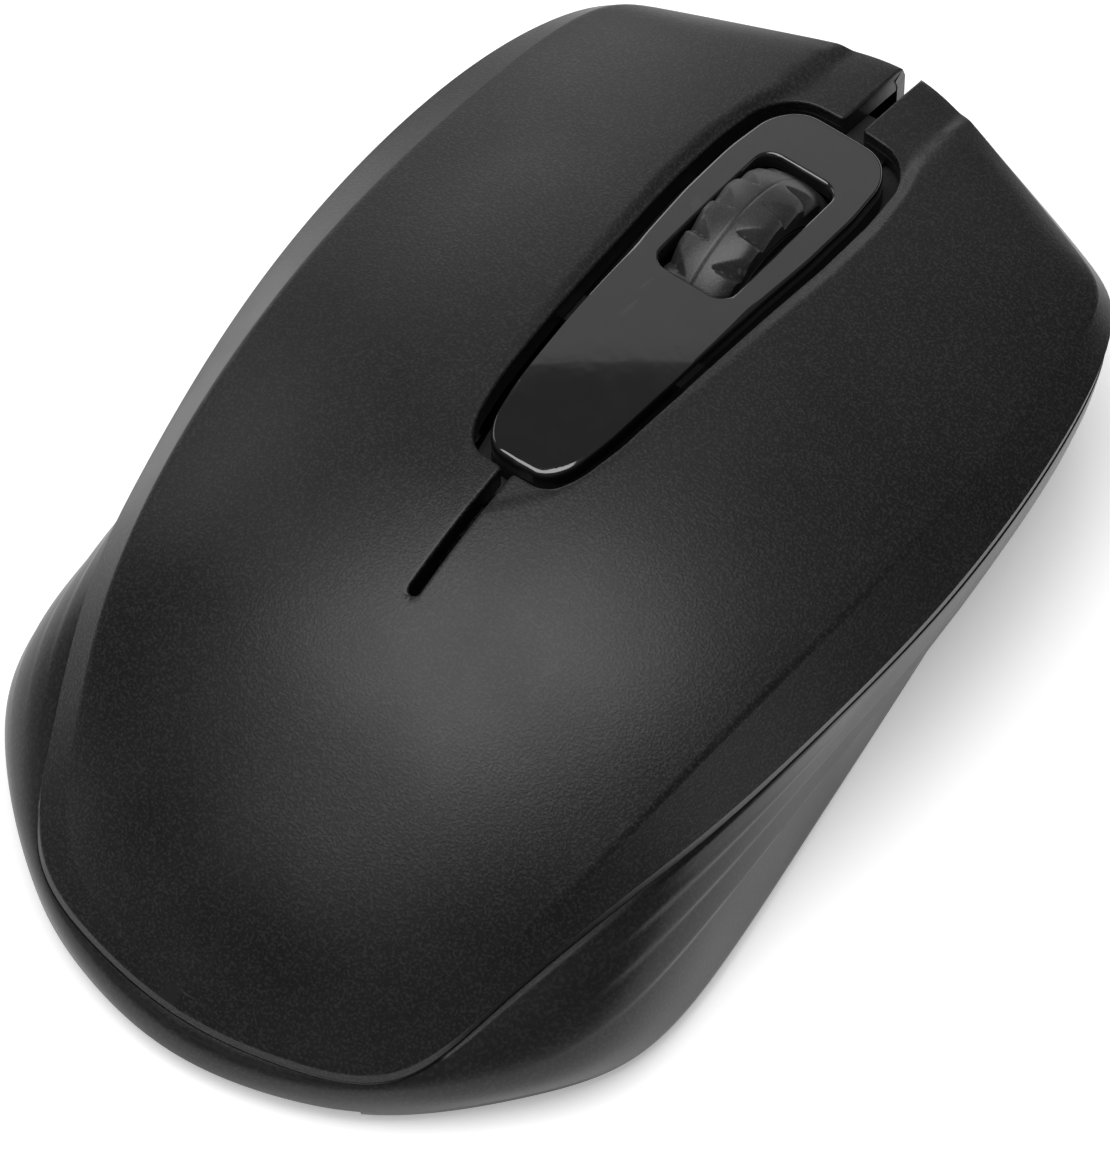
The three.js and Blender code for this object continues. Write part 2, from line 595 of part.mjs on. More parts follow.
/** Battery door: it follows the outline of the underside at the tail. */
function batteryDoor() {
  const grip = { half: 5, y: 0.62 * halfLength, pitch: 2.4, width: 0.9, depth: 0.35 };
  const plate = slab(underOutline(0.2), BASE_Z, BASE_Z + DOOR_THICKNESS)
    .intersect(block(-DOOR_HALF, DOOR_HALF, doorFront, LENGTH, -1, TALL));
  const ridges = [0, 1, 2].map((k) => {
    const y = grip.y + k * grip.pitch;
    return block(-grip.half, grip.half, y, y + grip.width, -1, BASE_Z + grip.depth);
  });
  return plate.subtract(ridges.reduce((a, b) => a.add(b)));
}

// ---------------------------------------------------------------- wheel and encoder

const hubRadius = WHEEL_RADIUS - TYRE_DEPTH - GAP;
const encoder = { x0: 6.8, x1: 11.2, half: 5, bore: 3.2, above: 3.9 };
const saddle = { x0: -8.8, x1: -5.8, half: 2.9 };
const hexRadius = 1.75;
const middle = { x: -7.3, body: 3, height: 3.4, plunger: 1.6, proud: 0.9, travel: 0.35, well: 1.2 };
const middleTop = PART_Z + middle.height;

/** Tyre with two staggered rows of wedge notches. */
function wheelTyre() {
  const half = WHEEL_WIDTH / 2;
  const inner = WHEEL_RADIUS - TYRE_DEPTH;
  const section = [[inner, -half], [WHEEL_RADIUS - 0.7, -half], [WHEEL_RADIUS, -half + 0.9],
    [WHEEL_RADIUS, half - 0.9], [WHEEL_RADIUS - 0.7, half], [inner, half], [inner, -half]];
  const ring = new THREE.LatheGeometry(section.map(([r, y]) => new THREE.Vector2(r, y)), NOTCH_COUNT * 3);
  let tyre = solid(ring);
  for (let k = 0; k < NOTCH_COUNT; k += 1) {
    for (const side of [-1, 1]) {
      const angle = (k + (side > 0 ? 0.5 : 0)) * 2 * Math.PI / NOTCH_COUNT;
      const notch = new THREE.BoxGeometry(NOTCH.radial, NOTCH.width, NOTCH.length);
      notch.rotateX(side * NOTCH.turn).translate(WHEEL_RADIUS + NOTCH.radial / 2 - NOTCH.sink, side * half * 0.72, 0);
      notch.rotateY(angle);
      tyre = tyre.subtract(solid(notch));
    }
  }
  return tyre;
}

/** Hub with its axle: round where the saddle carries it, six-sided in the encoder. */
function wheelHub() {
  const half = WHEEL_WIDTH / 2;
  let hub = rod(-half, half, 0, 0, hubRadius, 40);
  const dish = rod(half - 1.4, half + 1, 0, 0, hubRadius - 1.3, 32)
    .subtract(rod(half - 2, half + 2, 0, 0, 3.2));
  hub = hub.subtract(dish).subtract(solid(geometryOf(dish).rotateZ(Math.PI)));
  hub = hub.add(rod(saddle.x0 - 0.4, encoder.x0 - 0.6, 0, 0, AXLE_RADIUS));
  return hub.add(rod(half, encoder.x1, 0, 0, hexRadius, 6));
}

function encoderBody() {
  const body = block(encoder.x0, encoder.x1, WHEEL_Y - encoder.half, WHEEL_Y + encoder.half,
    PART_Z, WHEEL_Z + encoder.above);
  return body.subtract(rod(encoder.x0 - 1, encoder.x1 + 1, WHEEL_Y, WHEEL_Z, encoder.bore));
}

/** Rotor of the encoder, turning on the wheel's six-sided axle. */
function encoderRotor() {
  const disc = rod(encoder.x0 + 0.3, encoder.x1 - 0.3, 0, 0, encoder.bore - GAP);
  return disc.subtract(rod(encoder.x0 - 1, encoder.x1 + 1, 0, 0, hexRadius + GAP + 0.05, 6));
}

/** Saddle that carries the free end of the axle and presses the middle switch. */
function axleSaddle() {
  const foot = middleTop + middle.proud + GAP;
  const body = block(saddle.x0, saddle.x1, WHEEL_Y - saddle.half, WHEEL_Y + saddle.half, foot, WHEEL_Z + 2.9);
  return body.subtract(rod(saddle.x0 - 1, saddle.x1 + 1, WHEEL_Y, WHEEL_Z, AXLE_RADIUS + GAP));
}

// ---------------------------------------------------------------- switches and board

/** Click switch with the well that its plunger sinks into. */
function clickSwitchBody(side) {
  const x = side * SWITCH_X;
  const half = SWITCH.width / 2;
  const y0 = SWITCH_Y - SWITCH.front;
  const body = block(x - half, x + half, y0, y0 + SWITCH.length, PART_Z, switchTop);
  const wide = PLUNGER.width / 2 + GAP;
  const long = PLUNGER.length / 2 + GAP;
  return body.subtract(block(x - wide, x + wide, SWITCH_Y - long, SWITCH_Y + long, switchTop - PLUNGER.well, TALL));
}

function clickPlunger(side) {
  const x = side * SWITCH_X;
  const wide = PLUNGER.width / 2;
  const long = PLUNGER.length / 2;
  const bottom = switchTop - PLUNGER.well + PLUNGER.travel + GAP;
  return block(x - wide, x + wide, SWITCH_Y - long, SWITCH_Y + long, bottom, plungerTop);
}

function middleSwitchBody() {
  const { x, body } = middle;
  const box = block(x - body, x + body, WHEEL_Y - body, WHEEL_Y + body, PART_Z, middleTop);
  return box.subtract(post(x, WHEEL_Y, middle.plunger + GAP, middleTop - middle.well, TALL));
}

function middlePlunger() {
  const bottom = middleTop - middle.well + middle.travel + GAP;
  return post(middle.x, WHEEL_Y, middle.plunger, bottom, middleTop + middle.proud);
}

const boardFront = SWITCH_Y - SWITCH.front - 0.8;
const boardRear = doorFront - GAP - WALL_THIN - GAP;
const boardHalf = 0.6 * halfWidth;

/** Circuit board with a slot for the wheel and holes for its screws. */
function circuitBoard() {
  const shape = new THREE.Shape([[-boardHalf + 2, boardFront], [boardHalf - 2, boardFront],
    [boardHalf, boardFront + 8], [boardHalf, boardRear], [-boardHalf, boardRear],
    [-boardHalf, boardFront + 8]].map(([x, y]) => new THREE.Vector2(x, y)));
  const slotHalf = WHEEL_WIDTH / 2 + 2 * GAP;
  const slot = rod(-slotHalf, slotHalf, WHEEL_Y, WHEEL_Z, WHEEL_RADIUS + 5 * GAP, 48);
  let board = slab(shape, BOARD_Z, BOARD_TOP).subtract(slot);
  for (const [x, y] of boardScrews) board = board.subtract(post(x, y, SCREW.shaft + GAP, 0, TALL));
  const eye = 1.4;
  board = board.subtract(post(frontScrew.x, frontScrew.y, SCREW.boss + GAP, 0, TALL));
  return board.subtract(block(-eye, eye, SENSOR_Y - eye, SENSOR_Y + eye, 0, TALL));
}

function sensorChip() {
  const half = 3.5;
  return block(-half, half, SENSOR_Y - half, SENSOR_Y + half, PART_Z, PART_Z + 1.7);
}

/** Clear lens in the window of the underside. */
function sensorLens() {
  const foot = block(-lensHalf, lensHalf, SENSOR_Y - lensHalf, SENSOR_Y + lensHalf, BASE_Z + 0.6, BOARD_Z - GAP);
  return foot.subtract(post(0, SENSOR_Y, 1.3, 0, BASE_Z + 1.4));
}

/** Lamp of the sensor: a small block with a round dome that faces the lens. */
function sensorLed() {
  const x = 9.4;
  const y = SENSOR_Y - 2;
  return post(x, y, 1.5, PART_Z, PART_Z + 3).add(post(x, y, 1.9, PART_Z, PART_Z + 0.8));
}

function radioChip() {
  const side = 5;
  const rear = boardRear - 2 * GAP;
  return block(-9 - side, -9, rear - side, rear, PART_Z, PART_Z + 0.9);
}

function crystal() {
  return slab(roundedRectangle(-8.6, -5, SENSOR_Y - 7, SENSOR_Y - 2.5, 1.2), PART_Z, PART_Z + 2.4, 3);
}

function capacitor() {
  return post(15, SWITCH_Y + SWITCH.length + 4, 2.1, PART_Z, PART_Z + 5);
}

// ---------------------------------------------------------------- power

/** Battery cell along Y, with its raised positive cap at the front. */
function batteryCell() {
  const can = new THREE.CylinderGeometry(BATTERY_RADIUS, BATTERY_RADIUS, BATTERY_LENGTH - 1, 36);
  can.translate(BATTERY_X, BATTERY_FRONT + 1 + (BATTERY_LENGTH - 1) / 2, cellZ);
  const cap = new THREE.CylinderGeometry(1.9, 1.9, 1.4, 24);
  cap.translate(BATTERY_X, BATTERY_FRONT + 0.7, cellZ);
  return solid(can).add(solid(cap));
}

/** Flat contact at the cell's positive end. */
function frontContact() {
  const y = BATTERY_FRONT - GAP;
  return block(BATTERY_X - 3, BATTERY_X + 3, y - 0.5, y, FLOOR_Z + 0.6, 8.5);
}

/** Coil spring at the cell's negative end, on its plate. */
function batterySpring() {
  const turns = 2.5;
  const rise = 2;
  const wire = 0.3;
  const rear = batteryRear + GAP + wire;
  class Coil extends THREE.Curve {
    getPoint(t, target = new THREE.Vector3()) {
      const angle = t * turns * 2 * Math.PI;
      const radius = 2 + 1.4 * t;
      return target.set(BATTERY_X + radius * Math.cos(angle), rear + rise * t, cellZ - 1.4 + radius * Math.sin(angle));
    }
  }
  const section = new THREE.Shape();
  section.absarc(0, 0, wire, 0, 2 * Math.PI);
  return solid(new THREE.ExtrudeGeometry(section, { steps: 48, extrudePath: new Coil(), curveSegments: 6 }));
}

/** Metal plug of the stored receiver, an open-ended sleeve with its tongue inside. */
function receiverPlug() {
  const { x, y, width, height, plug, z } = receiver;
  const half = width / 2;
  const sleeve = block(x - half, x + half, y, y + plug, z, z + height);
  const inside = block(x - half + 0.4, x + half - 0.4, y - 1, y + plug - 1.2, z + 0.4, z + height - 0.4);
  const tongue = block(x - half + 1, x + half - 1, y + 0.6, y + plug - 0.5, z + 2.4, z + 3.6);
  return sleeve.subtract(inside).add(tongue);
}

function receiverCap() {
  const { x, y, capHalf, height, plug, cap, z } = receiver;
  const shape = roundedRectangle(x - capHalf, x + capHalf, y + plug + GAP, y + plug + GAP + cap, 1.5);
  return slab(shape, z - 0.1, z + height + 1);
}

function powerSwitchBody() {
  const { x, y, width, length, travel } = knob;
  return block(x - width / 2 - 1, x + width / 2 + 1, y - 1.2, y + length + travel + 1.2,
    FLOOR_Z + GAP, BOARD_Z - GAP);
}

/** Knob of the power switch, in its slot in the underside. */
function powerSwitchKnob() {
  const { x, y, width, length } = knob;
  const top = FLOOR_Z - 0.05;
  const body = block(x - width / 2, x + width / 2, y, y + length, BASE_Z + 0.2, top);
  return body.subtract(block(x - width, x + width, y + 1.4, y + 2, 0, BASE_Z + 0.6));
}

// ---------------------------------------------------------------- scene graph

const finishes = {
  shell: { color: 0x2b2c2e, roughness: 0.62, metalness: 0 },
  casing: { color: 0x29292b, roughness: 0.5, metalness: 0 },
  gloss: { color: 0x1c1c1e, roughness: 0.12, metalness: 0 },
  frame: { color: 0x1f1f20, roughness: 0.6, metalness: 0 },
  rubber: { color: 0x3a3a3c, roughness: 0.55, metalness: 0 },
  glide: { color: 0x17171a, roughness: 0.35, metalness: 0 },
  board: { color: 0x1d4d33, roughness: 0.5, metalness: 0 },
  chip: { color: 0x161616, roughness: 0.45, metalness: 0 },
  lens: { color: 0xd8dde0, roughness: 0.08, metalness: 0 },
  lamp: { color: 0xc23a30, roughness: 0.15, metalness: 0 },
  plunger: { color: 0xd9d6cc, roughness: 0.4, metalness: 0 },
  metal: { color: 0xb9bcc0, roughness: 0.3, metalness: 1 },
  cell: { color: 0x3f6f8f, roughness: 0.35, metalness: 0.3 },
};

const mouse = new THREE.Group();

/** Named mesh of a solid, in one of the finishes. */
function addPiece(name, body, finish, parent = mouse) {
  const mesh = new THREE.Mesh(geometryOf(body), new THREE.MeshStandardMaterial(finishes[finish]));
  mesh.name = name;
  parent.add(mesh);
  return mesh;
}

addPiece('palm_cover', palmCover(), 'shell');
addPiece('left_button', button(1), 'shell');
addPiece('right_button', button(-1), 'shell');
addPiece('wheel_trim', wheelTrim(), 'gloss');
addPiece('trim_bracket', trimBracket(), 'frame');
addPiece('lower_casing', lowerCasing(), 'casing');
addPiece('battery_door', batteryDoor(), 'casing');
for (const [name, outline] of Object.entries(glides)) addPiece(name, slab(outline, 0, GLIDE_THICKNESS, 4), 'glide');

const axle = new THREE.Group();
axle.position.set(0, WHEEL_Y, WHEEL_Z);
mouse.add(axle);
addPiece('wheel_tyre', wheelTyre(), 'rubber', axle).rotation.z = Math.PI / 2;
addPiece('wheel_hub', wheelHub(), 'frame', axle);
addPiece('encoder_rotor', encoderRotor(), 'plunger', axle);
addPiece('encoder_body', encoderBody(), 'chip');
addPiece('axle_saddle', axleSaddle(), 'frame');

for (const [name, side] of [['left', 1], ['right', -1]]) {
  addPiece(`${name}_switch_body`, clickSwitchBody(side), 'chip');
  addPiece(`${name}_switch_plunger`, clickPlunger(side), 'plunger');
}
addPiece('middle_switch_body', middleSwitchBody(), 'chip');
addPiece('middle_switch_plunger', middlePlunger(), 'plunger');

addPiece('circuit_board', circuitBoard(), 'board');
addPiece('sensor_chip', sensorChip(), 'chip');
addPiece('sensor_lens', sensorLens(), 'lens');
addPiece('sensor_led', sensorLed(), 'lamp');
addPiece('radio_chip', radioChip(), 'chip');
addPiece('crystal', crystal(), 'metal');
addPiece('capacitor', capacitor(), 'chip');

addPiece('battery_cell', batteryCell(), 'cell');
addPiece('battery_contact', frontContact(), 'metal');
addPiece('battery_spring', batterySpring(), 'metal');
addPiece('receiver_plug', receiverPlug(), 'metal');
addPiece('receiver_cap', receiverCap(), 'frame');
addPiece('power_switch_body', powerSwitchBody(), 'chip');
addPiece('power_switch_knob', powerSwitchKnob(), 'plunger');

['left', 'right', 'front'].forEach((place, k) => {
  addPiece(`casing_screw_${place}`, casingScrew(casingScrews[k]), 'metal');
});
['left', 'right'].forEach((place, k) => {
  addPiece(`board_screw_${place}`, boardScrew(boardScrews[k]), 'metal');
});

export default mouse;
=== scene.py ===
import logging
import math
from dataclasses import dataclass, field
from enum import Enum

import bmesh
import bpy
import numpy as np
from mathutils import Matrix, Vector


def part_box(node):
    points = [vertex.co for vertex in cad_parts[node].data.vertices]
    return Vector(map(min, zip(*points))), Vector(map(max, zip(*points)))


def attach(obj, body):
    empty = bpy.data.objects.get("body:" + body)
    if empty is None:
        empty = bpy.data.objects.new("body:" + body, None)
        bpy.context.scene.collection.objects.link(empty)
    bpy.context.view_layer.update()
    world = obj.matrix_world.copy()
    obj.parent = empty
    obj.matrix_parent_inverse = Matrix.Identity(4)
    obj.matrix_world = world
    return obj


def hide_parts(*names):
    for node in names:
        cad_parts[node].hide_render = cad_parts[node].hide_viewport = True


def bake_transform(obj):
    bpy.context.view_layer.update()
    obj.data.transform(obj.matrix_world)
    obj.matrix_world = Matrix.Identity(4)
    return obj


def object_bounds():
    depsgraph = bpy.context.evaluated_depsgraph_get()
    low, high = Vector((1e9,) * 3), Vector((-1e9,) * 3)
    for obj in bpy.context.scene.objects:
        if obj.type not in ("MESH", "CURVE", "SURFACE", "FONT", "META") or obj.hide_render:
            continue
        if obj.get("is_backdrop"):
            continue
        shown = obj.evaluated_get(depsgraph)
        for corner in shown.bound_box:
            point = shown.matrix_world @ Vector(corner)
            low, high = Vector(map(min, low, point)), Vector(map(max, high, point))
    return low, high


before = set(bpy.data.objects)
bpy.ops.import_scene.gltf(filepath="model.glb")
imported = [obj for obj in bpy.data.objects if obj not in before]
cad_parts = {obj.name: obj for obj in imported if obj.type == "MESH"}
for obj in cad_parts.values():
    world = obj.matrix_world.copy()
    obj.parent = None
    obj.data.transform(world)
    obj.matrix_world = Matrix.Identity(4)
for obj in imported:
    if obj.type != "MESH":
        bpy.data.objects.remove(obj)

MM = 0.001
MERGE = 0.004 * MM          # points of a swept sheet closer than this are one
FINE_MERGE = 0.002 * MM     # the same for the frame's own nodes and for needle faces
FINEST_MERGE = 0.001 * MM   # the same for closed solids
SHARP = 38.0                # edges above this angle stay sharp, in degrees
log = logging.getLogger("mouse")


# ---------------------------------------------------------------- the outer form

# Curves that run from the nose to the tail on one side. Each has a point at each of the
# same thirteen stations, as shares of the half width, the half length and the height.
SPINE = (-0.984, -0.944, -0.87, -0.77, -0.58, -0.24, 0.08, 0.34, 0.56, 0.72, 0.84, 0.91, 0.932)
CROWN = ((-1, 0.63), (-0.7, 0.785), (-0.4, 0.9), (0, 0.99), (0.24, 0.975),
         (0.48, 0.845), (0.68, 0.638), (0.86, 0.39), (0.97, 0.17))
CREASE = ((0, -0.992, 0.628), (0.326, -0.946, 0.608), (0.652, -0.876, 0.58), (0.785, -0.816, 0.595),
          (0.853, -0.6, 0.666), (0.88, -0.24, 0.752), (0.857, 0.06, 0.784), (0.808, 0.32, 0.745),
          (0.736, 0.54, 0.624), (0.632, 0.71, 0.457), (0.508, 0.84, 0.305), (0.293, 0.916, 0.248),
          (0, 0.944, 0.227))
BELT = ((0, -1, 0.582), (0.332, -0.956, 0.562), (0.665, -0.888, 0.534), (0.822, -0.824, 0.546),
        (0.951, -0.6, 0.603), (1, -0.24, 0.628), (0.967, 0.06, 0.621), (0.899, 0.32, 0.589),
        (0.808, 0.54, 0.546), (0.694, 0.724, 0.39), (0.56, 0.868, 0.241), (0.306, 0.94, 0.202),
        (0, 0.964, 0.191))
RIM = ((0, -0.996, 0.326), (0.329, -0.95, 0.326), (0.658, -0.88, 0.348), (0.812, -0.82, 0.44),
       (0.941, -0.6, 0.543), (0.99, -0.24, 0.571), (0.958, 0.06, 0.571), (0.893, 0.32, 0.539),
       (0.805, 0.54, 0.504), (0.691, 0.726, 0.355), (0.564, 0.872, 0.213), (0.306, 0.944, 0.181),
       (0, 0.968, 0.174))
FLANK = ((0, -0.972, 0.195), (0.319, -0.928, 0.195), (0.625, -0.86, 0.195), (0.782, -0.796, 0.213),
         (0.886, -0.59, 0.255), (0.925, -0.24, 0.27), (0.932, 0.06, 0.284), (0.951, 0.34, 0.305),
         (0.941, 0.58, 0.29), (0.821, 0.744, 0.213), (0.58, 0.884, 0.149), (0.303, 0.964, 0.128),
         (0, 0.99, 0.124))
FOOT = ((0, -0.952, 0.067), (0.306, -0.912, 0.067), (0.586, -0.848, 0.067), (0.73, -0.78, 0.067),
        (0.808, -0.59, 0.067), (0.88, -0.24, 0.067), (0.938, 0.08, 0.067), (0.984, 0.36, 0.067),
        (0.967, 0.58, 0.067), (0.811, 0.74, 0.067), (0.57, 0.886, 0.067), (0.293, 0.97, 0.067),
        (0, 1, 0.067))
FLEX_STATION = 7      # the buttons start to flex at this station
ARCH = (0.9, 0.1)     # parts of the fall to the crease that grow as the square and the fourth power

# Half width of the channel's floor, from the nose to behind the wheel trim.
CHANNEL_Y = np.array((-50, -41, -38, -33, -27, -20, -10, -2, 4, 9)) * MM
CHANNEL_X = np.array((4.9, 5.5, 6.4, 7.1, 7.2, 6.8, 6.3, 5.7, 4.0, 0.0)) * MM

# Corners of one side of the hole for the wheel trim: x, y and the round, in millimetres.
HOLE = [(4.6, -41.15, 3.3), (6.7, -38.3, 6), (7.2, -33, 20), (7.2, -27, 30), (6.8, -20, 60),
        (6.3, -10, 60), (5.7, -2, 25), (4.9, 2.4, 8), (3.5, 4.85, 2.4)]


def spline(knots: np.ndarray, values: np.ndarray, at: np.ndarray) -> np.ndarray:
    """Twice smooth curve through values.

    Args:
        knots: Rising parameter of each value.
        values: One row for each knot.
        at: Parameters to sample.

    Returns:
        One row for each sample.
    """
    count = len(knots)
    step = np.diff(knots)
    matrix = np.eye(count)
    right = np.zeros((count, values.shape[1]))
    slope = np.diff(values, axis=0) / step[:, None]
    for k in range(1, count - 1):
        matrix[k, k - 1:k + 2] = step[k - 1], 2 * (step[k - 1] + step[k]), step[k]
        right[k] = 6 * (slope[k] - slope[k - 1])
    bend = np.linalg.solve(matrix, right)
    k = np.clip(np.searchsorted(knots, at) - 1, 0, count - 2)
    b = ((at - knots[k]) / step[k])[:, None]
    a = 1 - b
    curved = (a ** 3 - a) * bend[k] + (b ** 3 - b) * bend[k + 1]
    return a * values[k] + b * values[k + 1] + curved * step[k][:, None] ** 2 / 6


def ease(x: np.ndarray, low: float | np.ndarray, high: float | np.ndarray) -> np.ndarray:
    """Smooth step from 0 at low to 1 at high."""
    t = np.clip((x - low) / (high - low), 0, 1)
    return t * t * (3 - 2 * t)


@dataclass
class Form:
    """The outer form as smooth guide curves, and the height of its top over any point.

    Attributes:
        samples: Points kept along each guide curve.
        groove_depth: Depth of the channel that runs from the nose along the wheel trim.
        groove_bank: Width of the channel's slanted sides at the nose.
        groove_fade: Where the channel starts to fade out, and where it has.
    """
    samples: int = 1600
    groove_depth: float = 0.5 * MM
    groove_bank: float = 1.5 * MM
    groove_fade: tuple[float, float] = (-40 * MM, 6 * MM)

    def __post_init__(self) -> None:
        """Works out the driving sizes from the frame and samples the guide curves."""
        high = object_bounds()[1]
        self.half_length = high.y
        self.half_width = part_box("left_button")[1].x
        plan = np.array(BELT)[:, :2] * (self.half_width, self.half_length)
        reach = np.sqrt(np.linalg.norm(np.diff(plan, axis=0), axis=1))
        self.knots = np.concatenate(([0.0], np.cumsum(reach))) / reach.sum()
        self.at = np.linspace(0, 1, self.samples)
        self.flex = float(self.knots[FLEX_STATION])
        crown = np.array(CROWN) * (self.half_length, 1)
        self.crown_y = np.linspace(-self.half_length, self.half_length, self.samples)
        shares = spline(crown[:, 0], crown[:, 1:], self.crown_y)[:, 0]
        self.height = high.z / shares.max()
        self.crown_z = shares * self.height
        tables = {"crease": CREASE, "belt": BELT, "rim": RIM, "flank": FLANK, "foot": FOOT}
        self.curves = {name: self.guide(points) for name, points in tables.items()}
        self.spine = spline(self.knots, np.array(SPINE)[:, None] * self.half_length, self.at)[:, 0]
        self.flex_y = float(np.interp(self.flex, self.at, self.spine))

    def guide(self, points: tuple) -> np.ndarray:
        """Samples a guide curve, made to cross the middle plane squarely at both ends."""
        scaled = np.array(points, float) * (self.half_width, self.half_length, self.height)
        mirrored = scaled * (-1, 1, 1)
        full = np.concatenate((mirrored[3:0:-1], scaled, mirrored[-2:-5:-1]))
        knots = self.knots
        long = np.concatenate((-knots[3:0:-1], knots, 2 - knots[-2:-5:-1]))
        curve = spline(long, full, self.at)
        curve[:, 0] = np.maximum(curve[:, 0], 0)
        return curve

    def on(self, name: str, u: np.ndarray) -> np.ndarray:
        """Points of a guide curve at the parameters u."""
        curve = self.curves[name]
        return np.stack([np.interp(u, self.at, curve[:, k]) for k in range(3)], axis=-1)

    def station_at_x(self, x: float) -> float:
        """Parameter where the crease reaches x, on its way out from the nose."""
        front = self.curves["crease"][: self.samples // 3]
        return float(np.interp(x, front[:, 0], self.at[: self.samples // 3]))

    def station_at_y(self, y: float) -> float:
        """Parameter where the crease reaches y."""
        return float(np.interp(y, self.curves["crease"][:, 1], self.at))

    def crown(self, y: np.ndarray) -> np.ndarray:
        """Height of the top on the middle line."""
        return np.interp(y, self.crown_y, self.crown_z)

    def top(self, plan: np.ndarray) -> np.ndarray:
        """Height of the top over points in plan, without the channel.

        Args:
            plan: Points as x and y in the last axis.

        Returns:
            Heights, in the shape of the points.
        """
        x, y = np.abs(plan[..., 0]), plan[..., 1]
        low = np.full(x.shape, 1e-4)
        high = np.full(x.shape, 1 - 1e-4)
        crease = self.curves["crease"]
        for _ in range(24):
            middle = (low + high) / 2
            spine_y = np.interp(middle, self.at, self.spine)
            share = x / np.maximum(np.interp(middle, self.at, crease[:, 0]), 1e-6)
            ahead = spine_y + share ** 2 * (np.interp(middle, self.at, crease[:, 1]) - spine_y) > y
            high = np.where(ahead, middle, high)
            low = np.where(ahead, low, middle)
        return self.arch(middle, np.clip(share, 0, 1))

    def arch(self, u: np.ndarray, share: np.ndarray) -> np.ndarray:
        """Height of the top on the line across from the spine to the crease.

        Args:
            u: Station of the line.
            share: Share of the way across.

        Returns:
            Heights.
        """
        middle_z = self.crown(np.interp(u, self.at, self.spine))
        fall = self.on("crease", u)[..., 2] - middle_z
        return middle_z + fall * (ARCH[0] * share ** 2 + ARCH[1] * share ** 4)

    def groove(self, plan: np.ndarray) -> np.ndarray:
        """Depth of the channel over points in plan: deep at the nose, gone behind the trim."""
        x, y = np.abs(plan[..., 0]), plan[..., 1]
        fade = ease(y, *self.groove_fade)
        inner = np.interp(y, CHANNEL_Y, CHANNEL_X)
        bank = self.groove_bank * (1 - 0.45 * fade)
        return self.groove_depth * (1 - 0.85 * fade) * (1 - ease(x, inner, inner + bank))


def rounded_path(corners: list[tuple[float, float, float]], step: float) -> np.ndarray:
    """Path in plan with a round at each inner corner.

    Args:
        corners: x, y and the round's radius, in millimetres.
        step: Longest step along straight stretches and rounds, in millimetres.

    Returns:
        Points in metres, one row each.
    """
    points = [Vector(corners[0][:2])]
    for before, here, after in zip(corners, corners[1:], corners[2:]):
        corner = Vector(here[:2])
        back = (Vector(before[:2]) - corner).normalized()
        on = (Vector(after[:2]) - corner).normalized()
        half = math.acos(max(-1.0, min(1.0, back.dot(on)))) / 2
        if here[2] > 0:
            reach = here[2] / math.tan(half)
            centre = corner + (back + on).normalized() * (here[2] / math.sin(half))
            start = corner + back * reach - centre
            sweep = start.angle_signed(corner + on * reach - centre)
            count = max(3, math.ceil(abs(sweep) * here[2] / step))
            for k in range(count + 1):
                points.append(centre + Matrix.Rotation(-sweep * k / count, 2) @ start)
        else:
            points.append(corner)
    points.append(Vector(corners[-1][:2]))
    even = [points[0]]
    for before, here in zip(points, points[1:]):
        count = max(1, math.ceil((here - before).length / step))
        even.extend(before.lerp(here, k / count) for k in range(1, count + 1))
    return np.array(even) * MM


# ---------------------------------------------------------------- meshes

def grid_mesh(points: np.ndarray) -> bmesh.types.BMesh:
    """Sheet of quads through a grid of points.

    Args:
        points: Array of columns by rows by three.

    Returns:
        The sheet, with coincident points merged.
    """
    columns, rows = points.shape[0] - 1, points.shape[1] - 1
    bm = bmesh.new()
    bmesh.ops.create_grid(bm, x_segments=columns, y_segments=rows, size=0.5)
    for vertex in bm.verts:
        i = round((vertex.co.x + 0.5) * columns)
        j = round((vertex.co.y + 0.5) * rows)
        vertex.co = points[i, j]
    bmesh.ops.remove_doubles(bm, verts=bm.verts[:], dist=MERGE)
    bmesh.ops.dissolve_degenerate(bm, dist=FINE_MERGE, edges=bm.edges[:])
    return bm


def mirror_merge(bm: bmesh.types.BMesh) -> None:
    """Adds the mirror image across the middle plane and closes the seam between them."""
    bmesh.ops.mirror(bm, geom=bm.verts[:] + bm.edges[:] + bm.faces[:], axis="X", merge_dist=MERGE)
    bmesh.ops.remove_doubles(bm, verts=bm.verts[:], dist=MERGE)
    inside = [f for f in bm.faces if all(abs(v.co.x) < FINE_MERGE for v in f.verts)]
    bmesh.ops.delete(bm, geom=inside, context="FACES")
    bmesh.ops.recalc_face_normals(bm, faces=bm.faces[:])


def face_up(bm: bmesh.types.BMesh) -> None:
    """Turns a sheet over when its faces look down."""
    bm.normal_update()
    if sum(f.normal.z * f.calc_area() for f in bm.faces) < 0:
        bmesh.ops.reverse_faces(bm, faces=bm.faces[:])


def thicken(bm: bmesh.types.BMesh, wall: float) -> None:
    """Gives a sheet an inner wall and a rim.

    Args:
        bm: Sheet whose faces look outwards.
        wall: Thickness.
    """
    bm.normal_update()
    made = bmesh.ops.extrude_face_region(bm, geom=bm.faces[:], use_keep_orig=True)
    for vertex in made["geom"]:
        if isinstance(vertex, bmesh.types.BMVert):
            vertex.co -= vertex.normal * wall
    bmesh.ops.recalc_face_normals(bm, faces=bm.faces[:])


class Body(Enum):
    """Bodies of the frame that the pieces ride on."""
    CASING = "casing"
    DOOR = "battery_door"
    LEFT = "left_button"
    RIGHT = "right_button"
    WHEEL = "wheel"
    KNOB = "power_knob"


